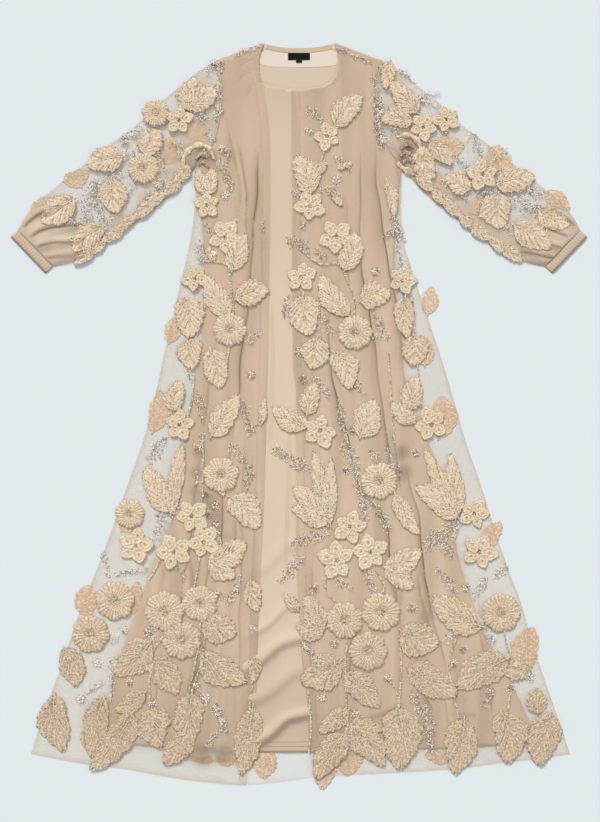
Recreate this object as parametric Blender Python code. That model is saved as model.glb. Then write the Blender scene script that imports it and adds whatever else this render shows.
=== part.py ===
"""Open-fronted abaya in embroidered net over its own satin slip, laid flat and seen from above.

The garment lies on its back in the XY plane. +Y points from the hem to the neck, +X to the
viewer's right, and +Z up from the surface it lies on. Its panels are thin walls stacked with a
small gap: net back, satin back, neck facing, satin front, then the two net fronts with their
thick corded flowers and leaves. Tables are in millimetres, and meshes are made in metres.
"""

import math

import bmesh
import bpy
import numpy as np
from mathutils import Vector
from mathutils.geometry import delaunay_2d_cdt

MM = 0.001
COLLECTION = "abaya"
CUTTERS = "cutters"

# Thickness of one layer of cloth, and the gap between layers and at seams
WALL = 1.0
GAP = 0.3
LAYER = WALL + GAP

# Height of the underside of each layer in the stack
NET_BACK_Z = 0.0
SATIN_BACK_Z = LAYER
SATIN_FRONT_Z = 2 * LAYER
NET_FRONT_Z = 3 * LAYER + 0.8

# Sleeve: a flat tube whose top is level with the net fronts, with its slot inside
SLEEVE_TOP = NET_FRONT_Z + WALL
SLOT_INSET = 2.5
# How far a sleeve stands off sideways, which leaves the seam gap all along its armhole
SEAM_SHIFT = 0.5
SLOT_LOW = WALL
SLOT_HIGH = SLEEVE_TOP - 1.5

# Widths of the turned edges, how much thicker they are, and the run over which they thin out
FRONT_TURN = 15.0
HEM_TURN = 20.0
TURN_HEIGHT = 0.7
TURN_RUN = 7.0
CUFF_WIDTH = 18.0
NECK_BINDING_WIDTH = 10.0

# Over how far a net front sinks from the satin to the net back, past the satin's edge
SINK_START = 10.0
SINK_END = 30.0
# The height over which the fronts rise to pass over the neck facing
RISE_LOW = 620.0
RISE_HIGH = 680.0

# Spacing of an outline's points, of the lines that carry a slope, and of the inner points
OUTLINE_STEP = 34.0
GUIDE_STEP = 24.0
GRID_STEP = 70.0
FOLD_STEP = 48.0

LABEL_WIDTH = 44.0
LABEL_HEIGHT = 14.0
TAB_WIDTH = 12.0
TAB_HEIGHT = 5.0
LABEL_CENTRE = (0.0, 718.0)

# The relief of an applique: its height at the rim and at the centre, and where the rim lies
RIM_SHARE = 0.84
RELIEF = {"leaf": (1.5, 1.1), "daisy": (1.5, 2.4), "blossom": (1.9, 1.2)}

# Shoulder seam of one side, from the neck point out to the armhole: x, y
SHOULDER = ((70, 744), (92, 737), (124, 725), (150, 715), (166, 710))
# Armhole of one side, from the shoulder down to the underarm: x, y
ARMHOLE = ((166, 710), (154, 657), (158, 604), (168, 557), (186, 524), (206, 500))
# Neck of the back panels, left to right: x, y
BACK_NECK = ((-70, 744), (-48, 739), (-26, 736), (0, 735), (26, 736), (48, 739), (70, 744))
# Scooped neck of the satin front, left to right: x, y
SCOOP_NECK = ((-70, 744), (-79, 712), (-76, 674), (-54, 661), (-26, 656), (6, 655),
              (36, 658), (60, 667), (74, 686), (78, 714), (70, 744))
# Neck edge of each net front, from its shoulder to its front edge: x, y
LEFT_NECK = ((-70, 744), (-81, 712), (-79, 690), (-73, 668))
RIGHT_NECK = ((70, 744), (79, 712), (75, 684), (61, 664), (36, 655), (8, 652), (-16, 651))
# Front edge of each net front, downwards: x, y
LEFT_EDGE = ((-73, 668), (-61, 588), (-58, 498), (-59, 332), (-63, 92), (-69, -128),
             (-76, -288), (-81, -408), (-86, -568), (-98, -680), (-105, -738))
RIGHT_EDGE = ((-16, 651), (-15, 598), (-14, 432), (-14, 232), (-12, 100), (-6, 40),
              (-6, -100), (-5, -290), (1, -402), (6, -490), (16, -560), (20, -640), (36, -722))

# Side edges of the net, from the underarm to the hem: y, x at the left, x at the right
NET_SIDES = (
    (500, -206, 206), (452, -208, 204), (402, -210, 204), (350, -218, 209),
    (300, -229, 223), (218, -248, 250), (142, -266, 276), (58, -284, 302),
    (-8, -300, 321), (-62, -316, 337), (-124, -338, 359), (-190, -362, 380),
    (-248, -382, 398), (-310, -406, 420), (-368, -430, 442), (-442, -456, 464),
    (-518, -482, 488), (-592, -510, 514), (-676, -536, 542),
)
# Side edges of the satin slip: y, x at the left, x at the right
SATIN_SIDES = (
    (500, -204, 204), (440, -200, 198), (350, -190, 190), (252, -191, 193),
    (152, -194, 204), (80, -204, 210), (12, -218, 232), (-58, -226, 260),
    (-128, -236, 284), (-208, -254, 304), (-290, -290, 320), (-352, -310, 340),
    (-434, -341, 370), (-525, -371, 420), (-600, -386, 456), (-650, -394, 480),
)
# Hem of the net fronts and of the net back, left to right: x, y
NET_HEM = ((-536, -676), (-482, -686), (-414, -698), (-348, -706), (-272, -720), (-196, -731),
           (-105, -738), (-20, -730), (36, -722), (96, -718), (174, -714), (250, -710),
           (326, -704), (402, -694), (480, -685), (542, -676))
# Hem of the satin slip, left to right: x, y
SATIN_HEM = ((-394, -650), (-334, -656), (-222, -666), (-86, -671), (22, -671), (140, -668),
             (250, -664), (355, -660), (480, -650))

# Edges of a sleeve, from the armhole to the cuff seam: x, y
SLEEVE_UPPER = ((166, 710), (200, 691), (230, 666), (277, 629), (321, 586), (376, 545),
                (429, 504), (484, 460), (520, 430), (545, 402), (563, 371))
SLEEVE_LOWER = ((206, 498), (240, 457), (273, 427), (317, 393), (361, 360), (412, 327),
                (450, 308), (492, 298))
# Ends of the cuff's open edge: x, y
CUFF_OUTER = ((576, 358), (506, 285))

# Long folds of the net fronts: panel, three points down the fold, lip side, height, width
FOLDS = (
    ("left", (-84, 560), (-95, 300), (-140, -60), -1, 3.0, 26),
    ("left", (-110, 466), (-116, 300), (-122, 120), -1, 1.4, 20),
    ("left", (-142, -140), (-178, -290), (-214, -540), -1, 3.0, 30),
    ("left", (-176, 430), (-182, 260), (-190, 60), 1, 1.4, 20),
    ("left", (-190, -40), (-204, -120), (-214, -200), -1, 2.0, 22),
    ("right", (122, 540), (132, 260), (172, 0), 1, 2.4, 24),
    ("right", (172, 0), (216, -150), (306, -532), 1, 3.0, 30),
    ("right", (155, 532), (162, 400), (203, 168), 1, 2.4, 20),
    ("right", (58, 250), (66, 110), (94, -40), 1, 2.0, 22),
    ("right", (181, 50), (200, -20), (220, -110), 1, 2.0, 18),
    ("right", (176, -310), (188, -380), (190, -440), 1, 1.8, 22),
)
# Creases of the satin in the front opening: two ends and the height of each
CREASES = (
    ((-64, -490), (-16, -458), 1.8),
    ((-64, -556), (-14, -522), 1.6),
    ((-62, -636), (0, -598), 2.4),
    ((-58, -424), (-20, -404), 1.4),
)
CREASE_WIDTH = 14.0
# Soft puckers of a sleeve: two ends and the height of each, on the viewer's right sleeve
PUCKERS = (
    ((208, 506), (262, 520), 3.0),
    ((214, 492), (280, 486), 2.4),
    ((240, 470), (330, 430), 1.6),
    ((548, 372), (486, 400), 2.0),
    ((536, 352), (458, 366), 2.4),
    ((524, 334), (440, 344), 2.0),
    ((510, 318), (436, 322), 1.8),
)
PUCKER_WIDTH = 12.0
CUFF_GATHERS = 17
GATHER_HEIGHT = 0.8

# Appliques on the viewer's left front: kind, x, y, length, width, angle in degrees
LEFT_MOTIFS = (
    ("leaf", -194, 466, 56, 30, 113), ("leaf", -177, 468, 54, 30, 80),
    ("blossom", -184, 420, 52, 52, 10), ("leaf", -122, 328, 78, 42, 72),
    ("blossom", -148, 356, 62, 62, 0), ("blossom", -208, 274, 52, 52, 40),
    ("leaf", -166, 240, 96, 44, 117), ("leaf", -94, 246, 68, 46, 12),
    ("daisy", -138, 172, 66, 66, 0), ("leaf", -222, 196, 82, 56, -80),
    ("leaf", -216, 124, 62, 46, -100), ("leaf", -166, 94, 80, 48, -75),
    ("leaf", -248, 42, 62, 38, 75), ("blossom", -238, -18, 58, 58, 20),
    ("leaf", -244, -124, 140, 30, 78), ("leaf", -282, -146, 104, 46, 120),
    ("leaf", -148, 2, 98, 44, 55), ("daisy", -156, -118, 70, 70, 0),
    ("leaf", -106, -190, 84, 56, -50), ("blossom", -214, -200, 62, 62, 30),
    ("blossom", -250, -272, 66, 66, 0), ("blossom", -190, -252, 62, 62, 50),
    ("leaf", -140, -272, 80, 48, 27), ("leaf", -154, -306, 62, 40, -38),
    ("leaf", -92, -360, 62, 34, -80), ("daisy", -338, -196, 58, 58, 0),
    ("blossom", -326, -260, 64, 64, 15), ("daisy", -368, -370, 76, 76, 0),
    ("daisy", -416, -436, 74, 74, 0), ("daisy", -198, -374, 70, 70, 0),
    ("daisy", -268, -390, 78, 78, 0), ("daisy", -234, -448, 76, 76, 0),
    ("leaf", -158, -422, 70, 58, -20), ("leaf", -454, -502, 80, 48, -75),
    ("leaf", -330, -486, 98, 58, -140), ("leaf", -266, -518, 88, 52, -53),
    ("leaf", -152, -506, 106, 56, -33), ("leaf", -336, -572, 70, 34, -149),
    ("leaf", -484, -616, 112, 58, -82), ("leaf", -404, -622, 122, 46, -102),
    ("leaf", -372, -652, 142, 54, -126), ("leaf", -278, -602, 50, 38, -30),
    ("leaf", -288, -626, 76, 50, -76), ("leaf", -306, -616, 58, 34, -109),
    ("leaf", -218, -606, 104, 56, -92), ("leaf", -244, -664, 82, 46, -128),
    ("leaf", -104, -650, 136, 50, -100), ("leaf", -90, -506, 50, 26, -95),
)
# Appliques on the viewer's right front
RIGHT_MOTIFS = (
    ("leaf", 96, 612, 80, 46, 51), ("blossom", 56, 558, 54, 54, 0),
    ("leaf", 12, 484, 80, 50, 114), ("blossom", 22, 418, 58, 58, 30),
    ("leaf", 104, 328, 78, 42, 75), ("blossom", 74, 358, 62, 62, 10),
    ("blossom", 4, 276, 58, 58, 0), ("leaf", 68, 240, 98, 42, 121),
    ("leaf", 152, 242, 62, 50, 15), ("daisy", 112, 166, 68, 68, 0),
    ("leaf", 12, 200, 82, 58, -85), ("leaf", 30, 124, 62, 54, -100),
    ("leaf", 90, 92, 80, 48, -65), ("leaf", 22, 36, 66, 36, 75),
    ("leaf", -20, -4, 80, 40, 150), ("blossom", 42, -30, 66, 66, 25),
    ("leaf", 44, -142, 148, 30, 101), ("leaf", 62, -148, 130, 28, 88),
    ("leaf", 24, -176, 100, 44, 132), ("leaf", 20, -198, 76, 40, 155),
    ("blossom", 102, -222, 62, 62, 0), ("blossom", 76, -288, 70, 70, 40),
    ("blossom", 142, -272, 66, 66, 15), ("leaf", 210, -288, 78, 44, 24),
    ("leaf", 202, -322, 66, 40, -38), ("daisy", 160, -130, 72, 72, 0),
    ("leaf", 136, -4, 80, 52, 70), ("leaf", 214, -198, 92, 32, -62),
    ("leaf", 284, -132, 150, 32, 115), ("leaf", 308, -138, 128, 34, 97),
    ("leaf", 276, -168, 104, 46, 142), ("blossom", 264, -18, 68, 68, 20),
    ("leaf", 226, 46, 68, 40, 82), ("leaf", 206, 6, 62, 32, 137),
    ("blossom", 350, -196, 60, 60, 0), ("blossom", 360, -272, 70, 70, 30),
    ("leaf", 30, -390, 72, 40, 120), ("leaf", 22, -424, 58, 42, 176),
    ("leaf", -16, -372, 42, 24, 134), ("daisy", 91, -408, 72, 72, 0),
    ("daisy", 164, -392, 76, 76, 0), ("daisy", 138, -470, 76, 76, 0),
    ("leaf", 240, -446, 80, 64, -18), ("leaf", 314, -394, 116, 58, 150),
    ("daisy", 404, -394, 76, 76, 0), ("leaf", 44, -512, 90, 62, -147),
    ("leaf", 128, -546, 96, 48, -43), ("leaf", 266, -532, 112, 56, -32),
    ("leaf", 364, -512, 116, 62, -150), ("leaf", 68, -608, 74, 34, -140),
    ("leaf", 60, -678, 104, 52, -120), ("leaf", 134, -622, 68, 34, -5),
    ("leaf", 138, -658, 104, 50, -48), ("leaf", 108, -644, 60, 28, -75),
    ("leaf", 204, -644, 122, 74, -90), ("leaf", 322, -660, 112, 60, -100),
    ("leaf", 416, -642, 102, 64, -85), ("leaf", 476, -568, 48, 40, 90),
    ("leaf", 488, -646, 106, 60, -102), ("leaf", 436, -506, 54, 40, -165),
    ("blossom", 206, 270, 54, 54, 0), ("leaf", 212, 196, 82, 38, -85),
    ("leaf", 230, 130, 60, 50, -95), ("leaf", 184, 434, 72, 22, -80),
)
# Appliques on the viewer's left sleeve
LEFT_SLEEVE_MOTIFS = (
    ("leaf", -228, 632, 44, 26, 115), ("leaf", -215, 644, 66, 44, 84),
    ("leaf", -192, 634, 66, 50, 37), ("blossom", -240, 590, 54, 54, 0),
    ("daisy", -286, 604, 54, 54, 0), ("leaf", -294, 548, 58, 44, 60),
    ("leaf", -388, 510, 72, 50, 195), ("daisy", -310, 494, 62, 62, 0),
    ("leaf", -372, 438, 70, 52, -85), ("leaf", -482, 410, 80, 50, -143),
    ("leaf", -424, 356, 76, 44, -140),
)
# Appliques on the viewer's right sleeve
RIGHT_SLEEVE_MOTIFS = (
    ("leaf", 176, 680, 58, 26, -100), ("leaf", 210, 638, 82, 42, 132),
    ("leaf", 194, 592, 62, 36, 178), ("blossom", 248, 576, 54, 54, 0),
    ("blossom", 294, 592, 54, 54, 30), ("leaf", 284, 524, 62, 34, -45),
    ("leaf", 252, 502, 68, 44, -70), ("blossom", 366, 482, 60, 60, 10),
    ("leaf", 316, 466, 56, 40, 150), ("leaf", 432, 472, 78, 48, 10),
    ("leaf", 396, 408, 70, 60, -85), ("leaf", 508, 394, 70, 40, -30),
    ("leaf", 466, 358, 84, 50, -33),
)
# Appliques that reach below the hem of the net back
BACK_MOTIFS = (("leaf", -74, -706, 64, 38, -110), ("leaf", 52, -705, 80, 44, -100))

# A leaf's outline: share of its length from the stalk, share of its half width
LEAF_PROFILE = ((0.0, 0.0), (0.12, 0.55), (0.36, 1.0), (0.64, 0.88), (0.86, 0.42), (1.0, 0.0))
DAISY_POINTS = 14
DAISY_NOTCH = 0.93
# One petal of a blossom: share of the petal's turn, share of the radius
PETAL_PROFILE = ((-0.5, 0.6), (-0.28, 0.95), (0.0, 1.0), (0.28, 0.95))
PETALS = 5

COLOURS = {
    "net": (0.72, 0.61, 0.49),
    "satin": (0.74, 0.62, 0.48),
    "facing": (0.80, 0.71, 0.60),
    "label": (0.01, 0.01, 0.01),
}
ROUGHNESS = {"net": 0.85, "satin": 0.42, "facing": 0.6, "label": 0.6}


def clear_scene():
    for obj in list(bpy.data.objects):
        bpy.data.objects.remove(obj)


def collection_named(name):
    made = bpy.data.collections.new(name)
    bpy.context.scene.collection.children.link(made)
    return made


def material_named(name):
    made = bpy.data.materials.new(name)
    made.use_nodes = True
    shader = made.node_tree.nodes["Principled BSDF"]
    shader.inputs["Base Color"].default_value = (*COLOURS[name], 1.0)
    shader.inputs["Roughness"].default_value = ROUGHNESS[name]
    shader.inputs["Metallic"].default_value = 0.0
    return made


# Curves and outlines, in millimetres


def curve_through(points, step=OUTLINE_STEP):
    """Points about step apart on a smooth curve through the given ones, ends included."""
    p = np.array(points, float)
    before = 2 * p[0] - p[1]
    after = 2 * p[-1] - p[-2]
    p = np.vstack([before, p, after])
    found = []
    for i in range(1, len(p) - 2):
        count = max(1, round(float(np.linalg.norm(p[i + 1] - p[i])) / step))
        for t in np.arange(count) / count:
            found.append(
                0.5 * (2 * p[i] + (p[i + 1] - p[i - 1]) * t
                       + (2 * p[i - 1] - 5 * p[i] + 4 * p[i + 1] - p[i + 2]) * t * t
                       + (3 * p[i] - p[i - 1] - 3 * p[i + 1] + p[i + 2]) * t ** 3)
            )
    found.append(p[-2])
    return np.array(found)


def mirrored(points):
    return [(-x, y) for x, y in points]


def side_curve(sides, column, step=OUTLINE_STEP):
    return curve_through([(row[column], row[0]) for row in sides], step)


def between(curve, low, high):
    """The points of a left-to-right curve whose x lies between low and high."""
    return curve[(curve[:, 0] > low) & (curve[:, 0] < high)]


def inside(points, polygon):
    """Which of the points lie inside a closed polygon."""
    x, y = points[:, 0], points[:, 1]
    found = np.zeros(len(points), bool)
    for (x0, y0), (x1, y1) in zip(polygon, np.roll(polygon, -1, axis=0)):
        crosses = (y0 > y) != (y1 > y)
        rise = y1 - y0 if y1 != y0 else 1.0
        found ^= crosses & (x < (x1 - x0) * (y - y0) / rise + x0)
    return found


def distance_to(points, line):
    """How far each point is from a polyline."""
    best = np.full(len(points), np.inf)
    for a, b in zip(line[:-1], line[1:]):
        d = b - a
        t = np.clip(((points - a) @ d) / max(float(d @ d), 1e-9), 0, 1)
        best = np.minimum(best, np.linalg.norm(points - a - t[:, None] * d, axis=1))
    return best


def shifted(line, offset):
    """The line moved sideways: a positive offset moves a downward line to the right."""
    line = np.array(line, float)
    run = np.gradient(line, axis=0)
    run /= np.linalg.norm(run, axis=1)[:, None]
    return line + offset * np.column_stack([-run[:, 1], run[:, 0]])


# Appliques


def leaf_shape(length, width):
    upper = [((s - 0.5) * length, h * width / 2) for s, h in LEAF_PROFILE]
    lower = [(u, -v) for u, v in reversed(upper[1:-1])]
    return upper + lower


def daisy_shape(length, _width):
    turns = 2 * math.pi * np.arange(DAISY_POINTS) / DAISY_POINTS
    radii = length / 2 * np.where(np.arange(DAISY_POINTS) % 2, DAISY_NOTCH, 1.0)
    return list(zip(radii * np.cos(turns), radii * np.sin(turns)))


def blossom_shape(length, _width):
    found = []
    for petal in range(PETALS):
        for share, reach in PETAL_PROFILE:
            turn = 2 * math.pi * (petal + share) / PETALS
            found.append((reach * length / 2 * math.cos(turn), reach * length / 2 * math.sin(turn)))
    return found


SHAPES = {"leaf": leaf_shape, "daisy": daisy_shape, "blossom": blossom_shape}


class Motif:
    """One applique: its outline, and how far a point lies from its centre to its outline."""

    def __init__(self, kind, x, y, length, width, angle):
        turn = math.radians(angle)
        shape = np.array(SHAPES[kind](length, width))
        spin = np.array([[math.cos(turn), math.sin(turn)], [-math.sin(turn), math.cos(turn)]])
        self.centre = np.array([x, y], float)
        self.offsets = shape @ spin
        self.outline = self.centre + self.offsets
        self.rim = self.centre + RIM_SHARE * self.offsets
        self.heights = RELIEF[kind]
        bearing = np.arctan2(self.offsets[:, 1], self.offsets[:, 0])
        order = np.argsort(bearing)
        self.bearings = bearing[order]
        self.reaches = np.linalg.norm(self.offsets, axis=1)[order]

    def relief(self, points):
        away = points - self.centre
        bearing = np.arctan2(away[:, 1], away[:, 0])
        reach = np.interp(bearing, self.bearings, self.reaches, period=2 * math.pi)
        share = np.linalg.norm(away, axis=1) / reach
        rim, centre = self.heights
        return np.interp(share, (0.0, RIM_SHARE, 0.985), (centre, rim, 0.0))


def motifs_of(rows):
    return [Motif(*row) for row in rows]


def relief_of(motifs, points):
    heights = np.zeros(len(points))
    for motif in motifs:
        near = np.linalg.norm(points - motif.centre, axis=1) < motif.reaches.max()
        heights[near] = np.maximum(heights[near], motif.relief(points[near]))
    return heights


# Folds, creases and puckers: ridges on the upper side of a wall


def fold_line(top, middle, bottom, count):
    t = np.linspace(0, 1, count)[:, None]
    top, middle, bottom = (np.array(p, float) for p in (top, middle, bottom))
    control = 2 * middle - (top + bottom) / 2
    return (1 - t) ** 2 * top + 2 * t * (1 - t) * control + t * t * bottom


LIP_RUN = 3.0


def fold_height(points, panel):
    heights = np.zeros(len(points))
    for name, top, middle, bottom, lip, height, width in FOLDS:
        if name != panel:
            continue
        line = fold_line(top, middle, bottom, 16)[::-1]
        along = (points[:, 1] - bottom[1]) / (top[1] - bottom[1])
        centre = np.interp(points[:, 1], line[:, 1], line[:, 0])
        across = (points[:, 0] - centre) * lip
        taper = np.interp(along, (0.0, 0.15, 0.85, 1.0), (0.0, 1.0, 1.0, 0.0))
        rise = np.interp(across, (-LIP_RUN, 0.0, width), (0.0, 1.0, 0.0), left=0.0, right=0.0)
        heights = np.maximum(heights, height * taper * rise)
    return heights


def fold_lines(panel):
    """Lines along each fold's foot, lip and far side, kept as edges of the wall's upper side."""
    found = []
    for name, top, middle, bottom, lip, _, width in FOLDS:
        if name == panel:
            line = fold_line(top, middle, bottom, max(4, round((top[1] - bottom[1]) / FOLD_STEP)))
            found += [line + (across, 0.0) for across in (-LIP_RUN * lip, 0.0, width * lip)]
    return found


def ridge_height(points, ridges, width):
    heights = np.zeros(len(points))
    for start, end, height in ridges:
        a, b = np.array(start, float), np.array(end, float)
        d = b - a
        along = ((points - a) @ d) / (d @ d)
        away = np.linalg.norm(points - a - np.clip(along, 0, 1)[:, None] * d, axis=1)
        taper = np.interp(along, (-0.05, 0.35, 0.65, 1.05), (0.0, 1.0, 1.0, 0.0))
        heights = np.maximum(heights, height * taper * np.clip(1 - away / width, 0, 1))
    return heights


def ridge_guides(ridges, width):
    found = []
    for start, end, _ in ridges:
        a, b = np.array(start, float), np.array(end, float)
        side = np.array([a[1] - b[1], b[0] - a[0]]) / np.linalg.norm(b - a)
        for share in np.linspace(0, 1, 5):
            middle = a + share * (b - a)
            found += [middle, middle + width * side, middle - width * side]
    return np.array(found)


# Walls


def triangulated(loops, lines, points):
    """A triangulation of the points that keeps every loop's and line's edges."""
    coords = [Vector((float(x), float(y))) for x, y in np.vstack([*loops, *lines, points])]
    edges = []
    first = 0
    for i, chain in enumerate([*loops, *lines]):
        count = len(chain)
        edges += [(first + j, first + (j + 1) % count) for j in range(count - (i >= len(loops)))]
        first += count
    places, _, faces, *_ = delaunay_2d_cdt(coords, edges, [], 0, 0.02)
    return np.array([(p.x, p.y) for p in places]), [tuple(f) for f in faces]


def kept_faces(places, faces, polygons):
    middles = np.array([places[list(f)].mean(axis=0) for f in faces])
    keep = np.zeros(len(faces), bool)
    for polygon in polygons:
        keep |= inside(middles, polygon)
    return [f for f, k in zip(faces, keep) if k]


def rim_edges(faces):
    """The directed edges that only one face uses."""
    used = {}
    for face in faces:
        for a, b in zip(face, face[1:] + face[:1]):
            used.setdefault(frozenset((a, b)), []).append((a, b))
    return [ends[0] for ends in used.values() if len(ends) == 1]


def without_slivers(faces, rim):
    """The faces without those that end on an edge that isn't one of the rim's."""
    while True:
        loose = {frozenset(edge) for edge in rim_edges(faces)} - rim
        kept = [f for f in faces
                if not any(frozenset(e) in loose for e in zip(f, f[1:] + f[:1]))]
        if len(kept) == len(faces):
            return kept
        faces = kept


def grid_in(polygon, spacing, clear):
    """Inner points on a staggered grid, clear of the polygon's edge."""
    low, high = polygon.min(axis=0), polygon.max(axis=0)
    found = []
    for row, y in enumerate(np.arange(low[1] + spacing / 2, high[1], spacing)):
        start = low[0] + spacing * (0.5 if row % 2 else 1.0)
        found += [(x, y) for x in np.arange(start, high[0], spacing)]
    found = np.array(found).reshape(-1, 2)
    if not len(found):
        return found
    closed = np.vstack([polygon, polygon[:1]])
    return found[inside(found, polygon) & (distance_to(found, closed) > clear)]


def thinned(points, taken, apart):
    """The points that are further than apart from the taken ones and from each other."""
    kept = list(taken)
    found = []
    for p in points:
        if all((p[0] - q[0]) ** 2 + (p[1] - q[1]) ** 2 > apart * apart for q in kept):
            kept.append(p)
            found.append(p)
    return np.array(found).reshape(-1, 2)


def wall_mesh(outline, under, upper, motifs=(), free=(), guides=None, lines=(), flat_under=False,
              raised=True):
    """A closed wall over an outline. Its upper side carries the appliques, which may reach past
    the outline where they are free, and its underside is plain. Returns a bmesh."""
    outline = np.array(outline, float)
    regions = [outline, *(m.outline for m in free)]
    guides = np.zeros((0, 2)) if guides is None else np.array(guides)
    closed = np.vstack([outline, outline[:1]])
    guides = guides[inside(guides, outline) & (distance_to(guides, closed) > 4.0)]
    guides = thinned(guides, [], 6.0)
    grid = grid_in(outline, GRID_STEP, GRID_STEP * 0.35)
    grid = thinned(grid, guides, GRID_STEP * 0.4)
    loops = [outline] + [m.outline for m in motifs] + [m.rim for m in motifs]
    busy = np.zeros(len(grid), bool)
    for m in motifs:
        busy |= inside(grid, m.outline)
    for line in lines:
        busy |= distance_to(grid, line) < GRID_STEP * 0.3
    centres = [m.centre[None] for m in motifs]
    places, faces = triangulated(loops, lines, np.vstack([*centres, guides, grid[~busy]]))
    faces = kept_faces(places, faces, regions)
    rim = rim_edges(faces)

    mesh = bmesh.new()
    used = sorted({v for f in faces for v in f})
    spots = places[used]
    top = upper(spots) + (relief_of(motifs, spots) if raised else 0.0)
    upper_verts = {
        v: mesh.verts.new((x * MM, y * MM, z * MM)) for v, (x, y), z in zip(used, spots, top)
    }
    for face in faces:
        mesh.faces.new([upper_verts[v] for v in face])

    rim_order = sorted({v for edge in rim for v in edge})
    inner = np.zeros((0, 2)) if flat_under else np.vstack([guides, grid])
    low_points = np.vstack([places[rim_order], inner])
    coords = [Vector((float(x), float(y))) for x, y in low_points]
    number = {v: i for i, v in enumerate(rim_order)}
    low_edges = [(number[a], number[b]) for a, b in rim]
    found, _, low_faces, origin, _, _ = delaunay_2d_cdt(coords, low_edges, [], 0, 0.0001)
    low_places = np.array([(p.x, p.y) for p in found])
    low_faces = kept_faces(low_places, [tuple(f) for f in low_faces], regions)
    after = {first: new for new, olds in enumerate(origin) for first in olds}
    rim = [(after[number[a]], after[number[b]], a, b) for a, b in rim]
    low_faces = without_slivers(low_faces, {frozenset(edge[:2]) for edge in rim})
    spots = np.array(low_places)
    bottom = under(spots)
    under_verts = {}
    for v in sorted({v for f in low_faces for v in f}):
        x, y = low_places[v]
        under_verts[v] = mesh.verts.new((x * MM, y * MM, bottom[v] * MM))
    for face in low_faces:
        mesh.faces.new([under_verts[v] for v in reversed(face)])
    for la, lb, a, b in rim:
        mesh.faces.new([upper_verts[b], upper_verts[a], under_verts[la], under_verts[lb]])
    bmesh.ops.recalc_face_normals(mesh, faces=mesh.faces)
    return mesh


def object_from(mesh, name, material, collection):
    data = bpy.data.meshes.new(name)
    mesh.to_mesh(data)
    mesh.free()
    made = bpy.data.objects.new(name, data)
    if material:
        data.materials.append(material)
    collection.objects.link(made)
    return made


def level(z):
    return lambda points: np.full(len(points), float(z))


# What the panels lie on


def satin_edge_distance(points):
    """How far each point lies outside the satin slip, 0 inside it."""
    rows = SATIN_SIDES[::-1]
    heights = [row[0] for row in rows]
    left = np.interp(points[:, 1], heights, [row[1] for row in rows])
    right = np.interp(points[:, 1], heights, [row[2] for row in rows])
    hem = np.interp(points[:, 0], [p[0] for p in SATIN_HEM], [p[1] for p in SATIN_HEM])
    out = np.maximum(left - points[:, 0], points[:, 0] - right)
    return np.clip(np.maximum(out, hem - points[:, 1]), 0, None)


def neck_rise(points):
    return np.interp(points[:, 1], (RISE_LOW, RISE_HIGH), (0.0, LAYER))


def satin_front_under(points):
    return SATIN_FRONT_Z + neck_rise(points)


def front_support(points):
    """The underside of what lies on the satin front and, past its edge, on the net back."""
    sink = np.interp(satin_edge_distance(points), (SINK_START, SINK_END), (0.0, 1.0))
    return NET_FRONT_Z + neck_rise(points) - sink * (NET_FRONT_Z - LAYER)


def turned_edge(edge, inward):
    """How much thicker a net front is along its front edge, where it is turned under."""
    line = curve_through(edge, GUIDE_STEP)[::-1]

    def extra(points):
        from_edge = (np.interp(points[:, 1], line[:, 1], line[:, 0]) - points[:, 0]) * inward
        share = np.interp(from_edge, (FRONT_TURN, FRONT_TURN + TURN_RUN), (1.0, 0.0))
        return TURN_HEIGHT * share * (points[:, 1] < edge[0][1] + 1.0)

    return extra


def turned_hem(points):
    """How much thicker the satin is along its turned-up hem."""
    hem = np.interp(points[:, 0], [p[0] for p in SATIN_HEM], [p[1] for p in SATIN_HEM])
    above = points[:, 1] - hem
    return TURN_HEIGHT * np.interp(above, (HEM_TURN, HEM_TURN + TURN_RUN), (1.0, 0.0))


def hem_guides():
    line = curve_through(SATIN_HEM, 2 * GUIDE_STEP)
    return np.vstack([line + (0.0, up) for up in (HEM_TURN, HEM_TURN + TURN_RUN)])


def sink_guides():
    """Lines along the satin's sides and hem, where the net over it starts and ends to sink."""
    found = []
    for out in (SINK_START, SINK_END):
        found.append(side_curve(SATIN_SIDES, 1, GUIDE_STEP) - (out, 0.0))
        found.append(side_curve(SATIN_SIDES, 2, GUIDE_STEP) + (out, 0.0))
        found.append(curve_through(SATIN_HEM, GUIDE_STEP) - (0.0, out))
    return np.vstack(found)


def rise_guides():
    across = np.arange(-160.0, 161.0, GUIDE_STEP)
    return np.vstack([[(x, y) for x in across] for y in (RISE_LOW, RISE_HIGH)])


def turn_guides(edge, inward):
    line = curve_through(edge, 1.5 * GUIDE_STEP)
    return np.vstack([line - (inward * out, 0.0) for out in (FRONT_TURN, FRONT_TURN + TURN_RUN)])


# Outlines of the panels


def body_outline(neck, sides, hem, inset):
    """Neck, right shoulder, armhole and side, hem, then the left side back up to the neck."""
    right_shoulder = curve_through(SHOULDER)[1:]
    right_armhole = curve_through(ARMHOLE)[1:]
    left_shoulder = np.array(mirrored(right_shoulder))[::-1]
    left_armhole = np.array(mirrored(right_armhole))[::-1]
    right = side_curve(sides, 2)[1:]
    left = side_curve(sides, 1)[1:]
    bottom = curve_through(hem)[1:-1]
    line = np.vstack([
        curve_through(neck), right_shoulder, right_armhole, right, bottom[::-1],
        left[::-1], left_armhole, left_shoulder,
    ])
    return pulled_in(line, inset) if inset else line


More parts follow.
